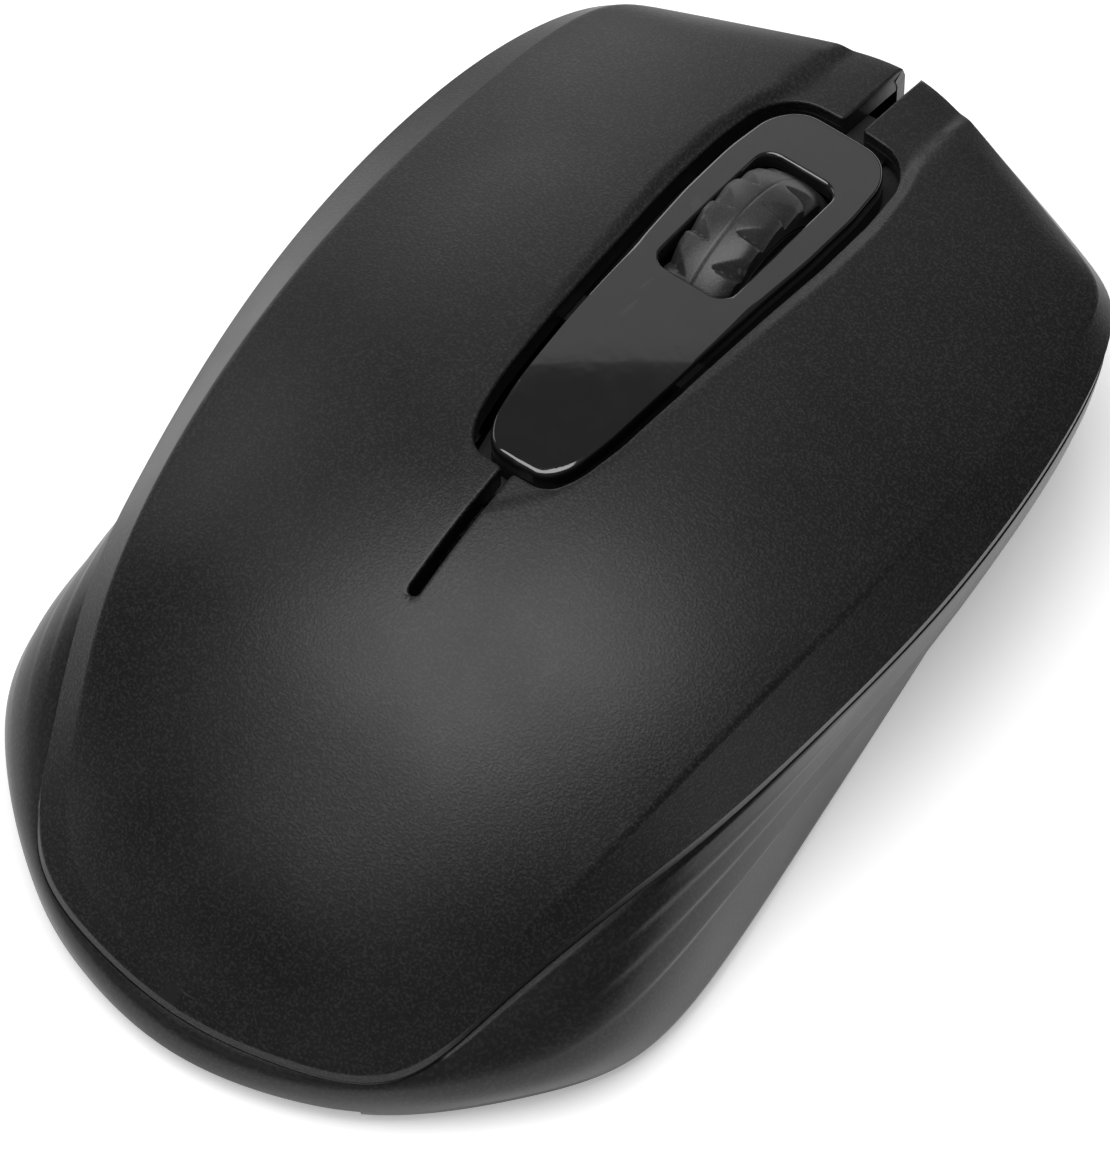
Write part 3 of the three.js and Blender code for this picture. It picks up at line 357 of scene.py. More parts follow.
def new_object(name: str, bm: bmesh.types.BMesh, material: bpy.types.Material,
               sharp: float = SHARP) -> bpy.types.Object:
    """Turns a bmesh into an object with smooth faces and sharp corners.

    Args:
        name: Name of the piece.
        bm: Mesh, freed afterwards.
        material: Its material.
        sharp: Angle above which an edge stays sharp, in degrees.

    Returns:
        The object, at the origin.
    """
    mesh = bpy.data.meshes.new(name)
    bm.to_mesh(mesh)
    bm.free()
    mesh.materials.append(material)
    mesh.shade_smooth()
    mesh.set_sharp_from_angle(angle=math.radians(sharp))
    made = bpy.data.objects.new(name, mesh)
    bpy.context.scene.collection.objects.link(made)
    log.info("%s: %d faces", name, len(mesh.polygons))
    return made


def settle(made: bpy.types.Object, body: Body, node: str) -> bpy.types.Object:
    """Puts a finished piece on its body, in the place of a node of the frame.

    Args:
        made: The piece.
        body: Body that it rides on.
        node: Node that it replaces.

    Returns:
        The piece.
    """
    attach(made, body.value)
    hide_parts(node)
    return made


def carve(target: bpy.types.Object, cutters: list[bmesh.types.BMesh]) -> None:
    """Cuts solids out of an object for good.

    Args:
        target: Object whose mesh is cut.
        cutters: Closed meshes, freed afterwards.
    """
    for cutter in cutters:
        tool = new_object("cutter", cutter, target.data.materials[0])
        modifier = target.modifiers.new("cut", "BOOLEAN")
        modifier.operation = "DIFFERENCE"
        modifier.solver = "EXACT"
        modifier.object = tool
        graph = bpy.context.evaluated_depsgraph_get()
        cut = bpy.data.meshes.new_from_object(target.evaluated_get(graph))
        target.modifiers.clear()
        target.data = cut
        bpy.data.objects.remove(tool)
    target.data.shade_smooth()
    target.data.set_sharp_from_angle(angle=math.radians(SHARP))


def plate(corners: list[tuple[float, float, float]], low: float, high: float) -> bmesh.types.BMesh:
    """Upright prism over a closed outline with rounded corners, in metres.

    Args:
        corners: x, y and radius of each corner, in millimetres.
        low: Height of its underside.
        high: Height of its top.

    Returns:
        The prism.
    """
    x0, y0, _ = corners[0]
    x1, y1, _ = corners[-1]
    start = ((x0 + x1) / 2, (y0 + y1) / 2, 0)
    outline = rounded_path([start, *corners, start], 0.5)[:-1]
    bm = bmesh.new()
    face = bm.faces.new([bm.verts.new((x, y, low)) for x, y in outline])
    made = bmesh.ops.extrude_face_region(bm, geom=[face])
    raised = [v for v in made["geom"] if isinstance(v, bmesh.types.BMVert)]
    bmesh.ops.translate(bm, verts=raised, vec=(0, 0, high - low))
    bmesh.ops.remove_doubles(bm, verts=bm.verts[:], dist=FINEST_MERGE)
    bmesh.ops.recalc_face_normals(bm, faces=bm.faces[:])
    return bm


def box_corners(low: Vector, high: Vector, grow: float, radius: float) -> list[tuple[float, float, float]]:
    """Corners of a node's box in plan, in millimetres, for plate()."""
    x0, y0 = low.x / MM - grow, low.y / MM - grow
    x1, y1 = high.x / MM + grow, high.y / MM + grow
    return [(x1, y0, radius), (x1, y1, radius), (x0, y1, radius), (x0, y0, radius)]


# ---------------------------------------------------------------- finishes

COAT_ROUGHNESS = 0.04
CLOUD = 14 * MM                   # size of the slow changes in roughness
CLOUD_RANGE = (0.3, 0.7)          # the values most of a noise lies between
CLOUD_SPREAD = 0.05               # how far the roughness strays from its middle
EDGE_RANGE = (0.52, 0.6)          # pointiness at which an edge starts to look rubbed, and is
SPOT_RANGE = (0.46, 0.66)         # noise at which a grain starts to look light, and is
SPOT_GAIN, SPOT_LIFT = 2.2, 0.006
WEAR_GAIN = 3
MIX_A, MIX_B, MIX_RESULT = 6, 7, 2    # the colour sockets of a mix node


@dataclass(frozen=True)
class Moulded:
    """Moulded plastic or rubber with a fine grain.

    Attributes:
        name: Name of the material.
        color: Base colour, linear.
        roughness: Middle of the roughness range.
        grain: Size of a grain.
        bump: Height of the grain, as the bump's distance.
        speckle: How much lighter the grain's tips are.
        sheen: Specular level on the shader.
        coat: Clear coat weight.
        wear: How much lighter rubbed edges get.
    """
    name: str
    color: tuple[float, float, float]
    roughness: float
    grain: float = 0.22 * MM
    bump: float = 0.02 * MM
    speckle: float = 0.35
    sheen: float = 0.5
    coat: float = 0.0
    wear: float = 0.25

    def build(self) -> bpy.types.Material:
        """Makes the material.

        Returns:
            A node material in object coordinates.
        """
        material = bpy.data.materials.new(self.name)
        material.use_nodes = True
        tree = material.node_tree
        shader = tree.nodes["Principled BSDF"]
        shader.inputs["Specular IOR Level"].default_value = self.sheen
        shader.inputs["Coat Weight"].default_value = self.coat
        shader.inputs["Coat Roughness"].default_value = COAT_ROUGHNESS
        place = tree.nodes.new("ShaderNodeTexCoord").outputs["Object"]
        grain = self.noise(tree, place, 1 / self.grain, 2.0)
        cloud = self.noise(tree, place, 1 / CLOUD, 3.0)
        pointiness = tree.nodes.new("ShaderNodeNewGeometry").outputs["Pointiness"]
        edge = self.remap(tree, pointiness, EDGE_RANGE)
        spots = self.remap(tree, grain, SPOT_RANGE)
        light = tuple(min(1.0, c * (1 + SPOT_GAIN * self.speckle) + SPOT_LIFT * self.speckle)
                      for c in self.color)
        worn = tuple(min(1.0, c * (1 + WEAR_GAIN * self.wear)) for c in self.color)
        speckled = self.mix(tree, spots, (*self.color, 1), (*light, 1))
        rubbed = self.mix(tree, edge, speckled, (*worn, 1))
        tree.links.new(rubbed, shader.inputs["Base Color"])
        limits = (self.roughness - CLOUD_SPREAD, self.roughness + CLOUD_SPREAD)
        spread = self.remap(tree, cloud, CLOUD_RANGE, limits, "LINEAR")
        tree.links.new(spread, shader.inputs["Roughness"])
        bump = tree.nodes.new("ShaderNodeBump")
        bump.inputs["Distance"].default_value = self.bump
        bump.inputs["Strength"].default_value = 1.0
        tree.links.new(grain, bump.inputs["Height"])
        tree.links.new(bump.outputs["Normal"], shader.inputs["Normal"])
        return material

    @staticmethod
    def noise(tree: bpy.types.NodeTree, place: bpy.types.NodeSocket, scale: float,
              detail: float) -> bpy.types.NodeSocket:
        """Noise of the given scale, as its factor output."""
        node = tree.nodes.new("ShaderNodeTexNoise")
        node.inputs["Scale"].default_value = scale
        node.inputs["Detail"].default_value = detail
        tree.links.new(place, node.inputs["Vector"])
        return node.outputs["Fac"]

    @staticmethod
    def remap(tree: bpy.types.NodeTree, source: bpy.types.NodeSocket, before: tuple[float, float],
              after: tuple[float, float] = (0.0, 1.0), kind: str = "SMOOTHSTEP") -> bpy.types.NodeSocket:
        """Maps the values of a socket from one range to another, held at its ends.

        Args:
            tree: Node tree of the material.
            source: Socket that gives the values.
            before: Range of the source.
            after: Range of the result.
            kind: Interpolation of the map range node.

        Returns:
            The result's socket.
        """
        node = tree.nodes.new("ShaderNodeMapRange")
        node.interpolation_type = kind
        for name, value in zip(("From Min", "From Max", "To Min", "To Max"), (*before, *after)):
            node.inputs[name].default_value = value
        tree.links.new(source, node.inputs["Value"])
        return node.outputs["Result"]

    @staticmethod
    def mix(tree: bpy.types.NodeTree, factor: bpy.types.NodeSocket,
            first: tuple | bpy.types.NodeSocket, second: tuple) -> bpy.types.NodeSocket:
        """Mixes a colour or a socket with a colour."""
        node = tree.nodes.new("ShaderNodeMix")
        node.data_type = "RGBA"
        tree.links.new(factor, node.inputs["Factor"])
        if isinstance(first, tuple):
            node.inputs[MIX_A].default_value = first
        else:
            tree.links.new(first, node.inputs[MIX_A])
        node.inputs[MIX_B].default_value = second
        return node.outputs[MIX_RESULT]


@dataclass(frozen=True)
class Metal(Moulded):
    """Plated steel with a fine grain."""

    def build(self) -> bpy.types.Material:
        """Makes the plastic and turns it to metal."""
        material = super().build()
        shader = material.node_tree.nodes["Principled BSDF"]
        shader.inputs["Metallic"].default_value = 1.0
        return material


@dataclass(frozen=True)
class Clear(Moulded):
    """Clear moulded plastic."""

    def build(self) -> bpy.types.Material:
        """Makes the plastic and lets light through it."""
        material = super().build()
        shader = material.node_tree.nodes["Principled BSDF"]
        shader.inputs["Transmission Weight"].default_value = 0.85
        shader.inputs["IOR"].default_value = 1.49
        return material


@dataclass
class Finishes:
    """All materials of the mouse, by the name of their slot in the record."""
    made: dict[str, bpy.types.Material] = field(default_factory=dict)

    def __post_init__(self) -> None:
        """Builds each material once."""
        kinds = {
            "shell": Moulded("shell_matte", (0.006, 0.006, 0.0063), 0.38, speckle=0.7, bump=0.02 * MM,
                             sheen=0.36),
            "casing": Moulded("casing_satin", (0.008, 0.008, 0.0083), 0.34, grain=0.3 * MM, bump=0.01 * MM,
                              speckle=0.4, sheen=0.45),
            "gloss": Moulded("trim_polished", (0.012, 0.012, 0.013), 0.1, grain=2.5 * MM,
                             bump=0.02 * MM, speckle=0.05, coat=1.0),
            "frame": Moulded("inner_moulding", (0.008, 0.008, 0.008), 0.6, speckle=0.2),
            "tyre": Moulded("wheel_rubber", (0.022, 0.022, 0.0225), 0.36, grain=0.15 * MM, bump=0.012 * MM,
                            speckle=0.3, wear=0.6),
            "glide": Moulded("glide_smooth", (0.012, 0.012, 0.013), 0.3, grain=0.5 * MM,
                             bump=0.004 * MM, speckle=0.3),
            "board": Moulded("board_mask", (0.01, 0.09, 0.04), 0.4, grain=0.8 * MM, bump=0.01 * MM),
            "chip": Moulded("chip_package", (0.012, 0.012, 0.012), 0.5, grain=0.1 * MM),
            "lens": Clear("lens_clear", (0.85, 0.88, 0.9), 0.08, bump=0.001 * MM, speckle=0.02, wear=0),
            "lamp": Clear("lamp_red", (0.7, 0.06, 0.04), 0.12, bump=0.001 * MM, speckle=0.05, wear=0),
            "plunger": Moulded("plunger_natural", (0.6, 0.57, 0.48), 0.4, speckle=0.04, wear=0.05),
            "metal": Metal("plated_steel", (0.6, 0.6, 0.61), 0.28, grain=0.12 * MM, bump=0.004 * MM,
                           speckle=0.05, wear=0.05),
            "cell": Moulded("cell_sleeve", (0.03, 0.05, 0.07), 0.3, grain=1.5 * MM, bump=0.004 * MM,
                            speckle=0.08),
        }
        self.made = {slot: kind.build() for slot, kind in kinds.items()}

    def __getitem__(self, slot: str) -> bpy.types.Material:
        """Material of a slot."""
        return self.made[slot]


# ---------------------------------------------------------------- top shell

# Rows of the side band and of the fold under it, as shares of their widths.
BAND_ROWS = (0.06, 0.2, 0.4, 0.6, 0.8, 0.94, 1.0)
FOLD_ROWS = (0.15, 0.5, 0.9, 1.0)
FLEX_STRIP = 0.05     # width of the last column of a button, which keeps its shading flat, in millimetres


@dataclass
class TopShell:
    """Palm cover and the two button tongues, as one unbroken skin split by its slit.

    Attributes:
        form: The outer form.
        finishes: The materials.
        wall: Thickness of the moulding.
        edge: Round along the hole and the slit.
        skirt: Depth of the wall round the hole and the slit.
        slit: Half width of the slit behind the trim, in millimetres.
        nose_slit: Half width of the slit in front of the trim, in millimetres.
        nose_end: Where the nose slit opens into the hole, in millimetres.
        corner: Round where a slit meets the hole, in millimetres.
        step: Longest step along the edge of a button, in millimetres.
        across: Rows from the hole to the crease.
        crowding: How much the rows crowd towards the hole, as a power.
        palm_columns: Columns of the palm cover on each side.
        flex_reach: Length over which a button bends; not used.
    """
    form: Form
    finishes: Finishes
    wall: float = 1.2 * MM
    edge: float = 0.22 * MM
    skirt: float = 2.4 * MM
    slit: float = 0.5
    nose_slit: float = 0.9
    nose_end: float = -41.35
    corner: float = 0.35
    step: float = 0.55
    across: int = 64
    crowding: float = 1.25
    palm_columns: int = 96
    flex_reach: float = 22 * MM

    def rows(self, inner: np.ndarray, toward: np.ndarray, u: np.ndarray, middle: np.ndarray) -> np.ndarray:
        """Points of one half, from the wall round the hole to the rim.

        Args:
            inner: Edge of the hole and the slit, in plan.
            toward: Unit directions in plan from the edge into the shell.
            u: Station of the outer curves that faces each point of the edge.
            middle: Marks columns that start on the middle line, with no wall and no round.

        Returns:
            Array of columns by rows by three.
        """
        form = self.form
        crease, belt, rim = (form.on(name, u) for name in ("crease", "belt", "rim"))
        length = np.linalg.norm(crease[:, :2] - inner, axis=1)[:, None]
        round_off = np.minimum(self.edge, 0.4 * length)
        round_off[middle] = 0
        start = inner + toward * round_off
        edge_z = self.surface(start)[:, None]
        rows = []
        for depth in (self.skirt, 0.5 * self.skirt):
            rows.append(np.hstack((inner, edge_z - depth * ~middle[:, None])))
        for k in range(4):
            angle = math.pi / 2 * k / 4
            shift = toward * round_off * (1 - math.cos(angle))
            rows.append(np.hstack((inner + shift, edge_z - round_off * (1 - math.sin(angle)))))
        for k in range(self.across + 1):
            share = (k / self.across) ** self.crowding
            plan = start + (crease[:, :2] - start) * share
            plan[middle, 1] = start[middle, 1] + (crease[middle, 1] - start[middle, 1]) * share ** 2
            z = self.surface(plan)
            z[middle] = form.arch(u[middle], np.full(middle.sum(), share))
            rows.append(np.hstack((plan, z[:, None])))
        sunk_crease = self.sink(crease)
        sunk_belt = self.sink(belt)
        rows[-1] = sunk_crease
        for share in BAND_ROWS:
            rows.append(sunk_crease + (sunk_belt - sunk_crease) * share)
        for share in FOLD_ROWS:
            rows.append(sunk_belt + (rim - sunk_belt) * share)
        return np.stack(rows, axis=1)

    def surface(self, plan: np.ndarray) -> np.ndarray:
        """Height of the skin over points in plan."""
        return self.form.top(plan) - self.form.groove(plan)

    def sink(self, points: np.ndarray) -> np.ndarray:
        """Lowers points of an outer curve by the channel."""
        lowered = points.copy()
        lowered[:, 2] -= self.form.groove(points[:, :2])
        return lowered

    def button_edge(self) -> tuple[np.ndarray, np.ndarray]:
        """Edge of the slit and hole beside a button, and the stations that face it.

        Returns:
            Points in plan and one station for each.
        """
        form = self.form
        nose = form.on("crease", np.array([form.station_at_x(self.nose_slit * MM)]))[0]
        flex_y = form.flex_y / MM
        corners = [(self.nose_slit, nose[1] / MM, 0), (self.nose_slit, self.nose_end, self.corner), *HOLE,
                   (self.slit, 4.95, self.corner), (self.slit, flex_y - FLEX_STRIP, 0),
                   (self.slit, flex_y, 0)]
        edge = rounded_path(corners, self.step)
        run = np.concatenate(([0], np.cumsum(np.linalg.norm(np.diff(edge, axis=0), axis=1))))

        def run_at(x: float, y: float) -> float:
            """Distance along the edge of the point nearest to a place in millimetres."""
            return float(run[np.argmin(np.hypot(edge[:, 0] - x * MM, edge[:, 1] - y * MM))])

        places = ((self.nose_slit, nose[1] / MM, form.station_at_x(self.nose_slit * MM)),
                  (self.nose_slit, self.nose_end, form.station_at_x(7 * MM)),
                  (3.0, self.nose_end, form.station_at_x(12 * MM)),
                  (5.5, -40.0, form.station_at_x(20.5 * MM)),
                  (7.1, -34.5, form.station_at_y(-36.5 * MM)),
                  (7.2, -29, form.station_at_y(-30.5 * MM)),
                  (6.3, -10, form.station_at_y(-11 * MM)),
                  (4.6, 3, form.station_at_y(2.5 * MM)),
                  (self.slit, 5.2, form.station_at_y(5.5 * MM)),
                  (self.slit, flex_y, form.flex))
        stations = np.interp(run, [run_at(x, y) for x, y, _ in places], [u for _, _, u in places])
        return edge, stations

    def button(self, name: str, side: int, body: Body) -> bpy.types.Object:
        """Builds one button tongue.

        Args:
            name: Name of the piece.
            side: 1 for the user's left, -1 for the right.
            body: Body of the frame whose node it hides.

        Returns:
            The finished piece.
        """
        edge, stations = self.button_edge()
        along = np.gradient(edge, axis=0)
        toward = np.stack((along[:, 1], -along[:, 0]), axis=-1) / np.linalg.norm(along, axis=1)[:, None]
        bm = grid_mesh(self.rows(edge, toward, stations, np.zeros(len(edge), bool)))
        if side < 0:
            bmesh.ops.scale(bm, vec=(-1, 1, 1), verts=bm.verts[:])
        bmesh.ops.recalc_face_normals(bm, faces=bm.faces[:])
        face_up(bm)
        thicken(bm, self.wall)
        made = new_object(name, bm, self.finishes["shell"])
        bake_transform(made)
        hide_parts(body.value)
        return made

    def palm(self) -> bpy.types.Object:
        """Builds the palm cover behind the buttons.

        Returns:
            The finished piece.
        """
        form = self.form
        flex_y = form.flex_y
        turn = np.linspace(0, math.pi / 2, 7)
        out = np.stack((np.cos(turn), np.sin(turn)), axis=-1)
        arc = out * self.slit * MM + (0, flex_y)
        arc[-1, 0] = 0
        start = float(np.interp(flex_y + (self.slit + 0.3) * MM, form.spine, form.at))
        arc_u = np.linspace(form.flex, start, len(arc) + 1)[:-1]
        u = start + (1 - start) * np.linspace(0, 1, self.palm_columns)
        spine = np.stack((np.zeros(len(u)), np.interp(u, form.at, form.spine)), axis=-1)
        toward = np.vstack((out, np.tile((1.0, 0.0), (len(u), 1))))
        middle = np.arange(len(toward)) >= len(arc)
        bm = grid_mesh(self.rows(np.vstack((arc, spine)), toward, np.concatenate((arc_u, u)), middle))
        mirror_merge(bm)
        face_up(bm)
        thicken(bm, self.wall)
        made = new_object("shell_palm", bm, self.finishes["shell"])
        return settle(made, Body.CASING, "palm_cover")

    def build(self) -> None:
        """Builds the three pieces of the shell."""
        self.palm()
        self.button("shell_left_button", 1, Body.LEFT)
        self.button("shell_right_button", -1, Body.RIGHT)


# ---------------------------------------------------------------- wheel trim

@dataclass
class WheelTrim:
    """Polished insert round the wheel.

    Attributes:
        form: The outer form.
        finishes: The materials.
        sink: How far its top lies below the form.
        outer_round: Round along its outline.
        inner_round: Round along the wheel's opening.
        depth: Height of its walls.
        brim: Width of the brim that closes the gap from below.
        brim_depth: Depth of the brim under the top.
        matte_below: Depth under the form from which the moulding is left matte.
        opening: Half width of the opening, then its front and rear, and corner round, in millimetres.
        outline: Corners of one half of its outline: x, y and round, in millimetres.
        wall: Thickness of the moulding.
        columns: Columns on each side.
        across: Rows from the outline to the opening.
    """
    form: Form
    finishes: Finishes
    sink: float = 0.45 * MM
    outer_round: float = 0.45 * MM
    inner_round: float = 0.3 * MM
    depth: float = 1.6 * MM
    brim: float = 2.6 * MM
    brim_depth: float = 3.4 * MM
    matte_below: float = 2.2 * MM
    opening: tuple[float, float, float, float] = (3.55, -34.4, -18.8, 1.5)
    outline: tuple[tuple[float, float, float], ...] = (
        (3.7, -40.1, 2.9), (5.55, -37.7, 4.8), (6.05, -33, 20), (6.05, -27, 30), (5.65, -20, 60),
        (5.15, -10, 60), (4.6, -2.3, 25), (3.9, 1.7, 5), (2.6, 3.75, 2.3))
    wall: float = 0.9 * MM
    columns: int = 132
    across: int = 26

    def loop(self, corners: list[tuple[float, float, float]], stops: list[tuple[float, float]],
             shares: list[float]) -> np.ndarray:
        """Half outline sampled so that given places fall on given shares of the columns.

        Args:
            corners: Corners for rounded_path, from the front to the rear of the middle line.
            stops: Places on the outline, in millimetres.
            shares: Share of the columns at each stop.

        Returns:
            One point in plan for each column.
        """
        path = rounded_path(corners, 0.12)
        run = np.concatenate(([0], np.cumsum(np.linalg.norm(np.diff(path, axis=0), axis=1))))
        at = [run[np.argmin(np.hypot(path[:, 0] - x * MM, path[:, 1] - y * MM))] for x, y in stops]
        wanted = np.interp(np.linspace(0, 1, self.columns + 1), shares, at)
        return np.stack([np.interp(wanted, run, path[:, k]) for k in (0, 1)], axis=-1)

    def build(self) -> bpy.types.Object:
        """Builds the insert.

        Returns:
            The finished piece.
        """
        half, front, rear, radius = self.opening
        outer_front, outer_rear = self.outline[0][1], self.outline[-1][1] + 0.1
        shares = [0, 0.12, 0.24, 0.5, 0.62, 0.84, 1]
        outer = self.loop([(0, outer_front, 0), *self.outline, (0, outer_rear, 0)],
                          [(0, outer_front), (3.4, outer_front), (5.9, -36.5), (5.7, -21), (5.15, -10),
                           (2.6, 3.6), (0, outer_rear)], shares)
        inner = self.loop([(0, front, 0), (half, front, radius), (half, rear, radius), (0, rear, 0)],
                          [(0, front), (half - 1, front), (half, front + 1.2), (half, rear - 1.2),
                           (half - 0.4, rear - 0.4), (1.4, rear), (0, rear)], shares)
        toward = inner - outer
        length = np.linalg.norm(toward, axis=1)[:, None]
        toward /= length
        brim = outer - toward * self.brim
        brim[:, 0] = np.maximum(brim[:, 0], 0)
        rows = [np.hstack((brim, self.surface(outer)[:, None] - self.brim_depth))]
        rows.append(np.hstack((outer, rows[0][:, 2:])))
        rows.extend(self.wall_rows(outer, toward, self.outer_round))
        start = outer + toward * self.outer_round
        end = inner - toward * self.inner_round
        for k in range(self.across + 1):
            plan = start + (end - start) * k / self.across
            rows.append(np.hstack((plan, self.surface(plan)[:, None])))
        rows.extend(reversed(self.wall_rows(inner, -toward, self.inner_round)))
        points = np.stack(rows, axis=1)
        points[0, :, 0] = 0
        points[-1, :, 0] = 0
        bm = grid_mesh(points)
        mirror_merge(bm)
        face_up(bm)
        thicken(bm, self.wall)
        centres = np.array([face.calc_center_median() for face in bm.faces])
        depths = self.form.top(centres[:, :2]) - centres[:, 2]
        for face, depth in zip(bm.faces, depths):
            face.material_index = int(depth > self.matte_below)
        made = new_object("trim_insert", bm, self.finishes["gloss"])
        made.data.materials.append(self.finishes["frame"])
        return settle(made, Body.CASING, "wheel_trim")

    def surface(self, plan: np.ndarray) -> np.ndarray:
        """Height of the insert's top."""
        return self.form.top(plan) - self.sink

    def wall_rows(self, edge: np.ndarray, toward: np.ndarray, radius: float) -> list[np.ndarray]:
        """Rows up a wall and over its round, towards the top.

        Args:
            edge: Outline in plan.
            toward: Unit directions from the outline into the insert.
            radius: Radius of the round.

        Returns:
            Rows of points, from the bottom of the wall.
        """
        z = self.surface(edge + toward * radius)[:, None]
        rows = [np.hstack((edge, z - self.depth)), np.hstack((edge, z - 0.6 * self.depth))]
        for k in range(5):
            angle = math.pi / 2 * k / 5
            rows.append(np.hstack((edge + toward * radius * (1 - math.cos(angle)),
                                   z - radius * (1 - math.sin(angle)))))
        return rows


# ---------------------------------------------------------------- lower casing

SWEEP_RAMP = 0.2      # share of the flank's height over which a swept crease rises
SWEEP_STEP = 0.035    # and over which it drops back


@dataclass
class LowerCasing:
    """Lower casing with its swept flanks, the tongue inside the seam and the openings underneath.

    Attributes:
        form: The outer form.
        finishes: The materials.
        seam: Gap under the palm cover.
        travel: Extra gap at the nose, where the buttons come down.
        base: Height of the underside.
        floor: Height of the inside of the floor.
        tongue: Rings over the seam's edge, as distance inwards and height over it, in millimetres.
        foot_round: Round at the foot.
        door_gap: Gap round the battery door, in millimetres.
        pocket_gap: Gap round the glides, the lens and the knob, in millimetres.
        columns: Columns on each side.
        steps: Rows from the seam to the foot.
        sweeps: Swept creases, each as its share of the flank's height at the front and the rear
            end, and its height in millimetres.
        sweep_front: Front end of the creases.
        sweep_length: Length of the creases.
        sweep_rise: Where the creases start to rise, and where they are full.
        sweep_fade: Where the creases start to fade, and where they have.
    """
    form: Form
    finishes: Finishes
    seam: float = 0.3 * MM
    travel: float = 0.55 * MM
    base: float = 0.5 * MM
    floor: float = 2.5 * MM
    tongue: tuple[tuple[float, float], ...] = (
        (2.6, 0.5), (1.7, 0.5), (1.6, 0), (0.45, 0), (0.2, -0.02), (0.06, -0.12))
    foot_round: float = 1.3 * MM
    door_gap: float = 0.25
    pocket_gap: float = 0.3
    columns: int = 170
    steps: int = 64
    sweeps: tuple[tuple[float, float, float], ...] = (
        (0.2, 0.13, 0.2), (0.4, 0.27, 0.26), (0.6, 0.47, 0.3))
    sweep_front: float = -22 * MM
    sweep_length: float = 52 * MM
    sweep_rise: tuple[float, float] = (-42 * MM, -20 * MM)
    sweep_fade: tuple[float, float] = (8 * MM, 40 * MM)

    def terrace(self, v: float, y: np.ndarray) -> np.ndarray:
        """How far the swept creases push the flank outwards.

        Args:
            v: Share of the flank's height, from the seam down.
            y: Place along the mouse.

        Returns:
            Distances in metres.
        """
        along = (y - self.sweep_front) / self.sweep_length
        strength = ease(y, *self.sweep_rise) * (1 - ease(y, *self.sweep_fade))
        push = np.zeros(y.shape)
        for front, rear, height in self.sweeps:
            line = front + (rear - front) * along
            past = ease(np.full(y.shape, v), line, line + SWEEP_STEP)
            rise = np.clip((v - line + SWEEP_RAMP) / SWEEP_RAMP, 0, 1) * (1 - past)
            push += height * MM * rise
        return push * strength

    def rows(self) -> np.ndarray:
        """Points of one half, from the floor inside over the seam to the underside.

        Returns:
            Array of columns by rows by three.
        """
        form = self.form
        u = np.linspace(0, 1, self.columns + 1)
        seam, flank, foot = (form.on(name, u) for name in ("rim", "flank", "foot"))
        drop = self.seam + self.travel * np.clip((17 * MM - seam[:, 1]) / (67 * MM), 0, 1)
        seam[:, 2] -= drop
        inward = self.inward(seam)
        foot_in = self.inward(foot)
        rows = []

        def ring(points: np.ndarray, direction: np.ndarray, inset: float, z: np.ndarray | float) -> None:
            """Adds a ring moved inwards in plan, at a height."""
            moved = points + direction * inset * MM
            moved[:, 2] = z
            rows.append(moved)

        ring(foot, foot_in, 4.2, self.floor)
        ring(foot, foot_in, 3.4, self.floor)
        ring(seam, inward, 2.9, np.maximum(seam[:, 2] - 4 * MM, self.floor + 0.8 * MM))
        for inset, lift in self.tongue:
            ring(seam, inward, inset, seam[:, 2] + lift * MM)
        for k in range(self.steps + 1):
            v = 0.02 + 0.98 * k / self.steps
            point = self.between(seam, flank, foot, v)
            point -= inward * self.terrace(v, point[:, 1])[:, None]
            rows.append(point)
        for angle in (0.25, 0.5, 0.75, 1.0):
            turn = angle * math.pi / 2
            moved = foot + foot_in * self.foot_round * (1 - math.cos(turn))
            moved[:, 2] = self.base + (foot[:, 2] - self.base) * (1 - math.sin(turn))
            rows.append(moved)
        ring(foot, foot_in, 2.4, self.base)
        points = np.stack(rows, axis=1)
        points[0, :, 0] = 0
        points[-1, :, 0] = 0
        return points

    @staticmethod
    def between(seam: np.ndarray, flank: np.ndarray, foot: np.ndarray, v: float) -> np.ndarray:
        """Point of the smooth side through the seam, the flank and the foot."""
        return seam * (1 - v) * (1 - 2 * v) + flank * 4 * v * (1 - v) + foot * v * (2 * v - 1)

    @staticmethod
    def inward(ring: np.ndarray) -> np.ndarray:
        """Unit directions in plan that point into a ring."""
        along = np.gradient(ring[:, :2], axis=0)
        along[0] = (1, 0)
        along[-1] = (-1, 0)
        along /= np.linalg.norm(along, axis=1)[:, None]
        return np.stack((-along[:, 1], along[:, 0], np.zeros(len(ring))), axis=-1)

    def openings(self) -> list[bmesh.types.BMesh]:
        """Solids to cut from the underside.

        Returns:
            One closed mesh for each opening.
        """
        below = -1 * MM
        inside = self.floor + 0.6 * MM
        door_low, door_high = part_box("battery_door")
        bay_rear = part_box("battery_spring")[1].y + 0.4 * MM
        x, y1 = door_high.x / MM + self.door_gap, bay_rear / MM
        y0 = door_low.y / MM - self.door_gap
        cuts = [plate([(x, y0, 0.6), (x, y1, 0.6), (-x, y1, 0.6), (-x, y0, 0.6)], below, inside)]
        y2 = self.form.half_length / MM + 4
        tail = door_high.z + self.door_gap * MM
        cuts.append(plate([(x, y1 - 1, 0), (x, y2, 0), (-x, y2, 0), (-x, y1 - 1, 0)], below, tail))
        for node, radius, top in (("front_glide", 2.2, None), ("rear_glide_left", 2.5, None),
                                  ("rear_glide_right", 2.5, None), ("sensor_lens", 0.8, inside)):
            low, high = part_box(node)
            corners = box_corners(low, high, self.pocket_gap, radius)
            cuts.append(plate(corners, below, top or high.z + 0.25 * MM))
        low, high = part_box("power_switch_knob")
        reach = Vector((high.x, high.y + 2 * MM, high.z))
        cuts.append(plate(box_corners(low, reach, self.pocket_gap, 0.7), below, inside))
        return cuts

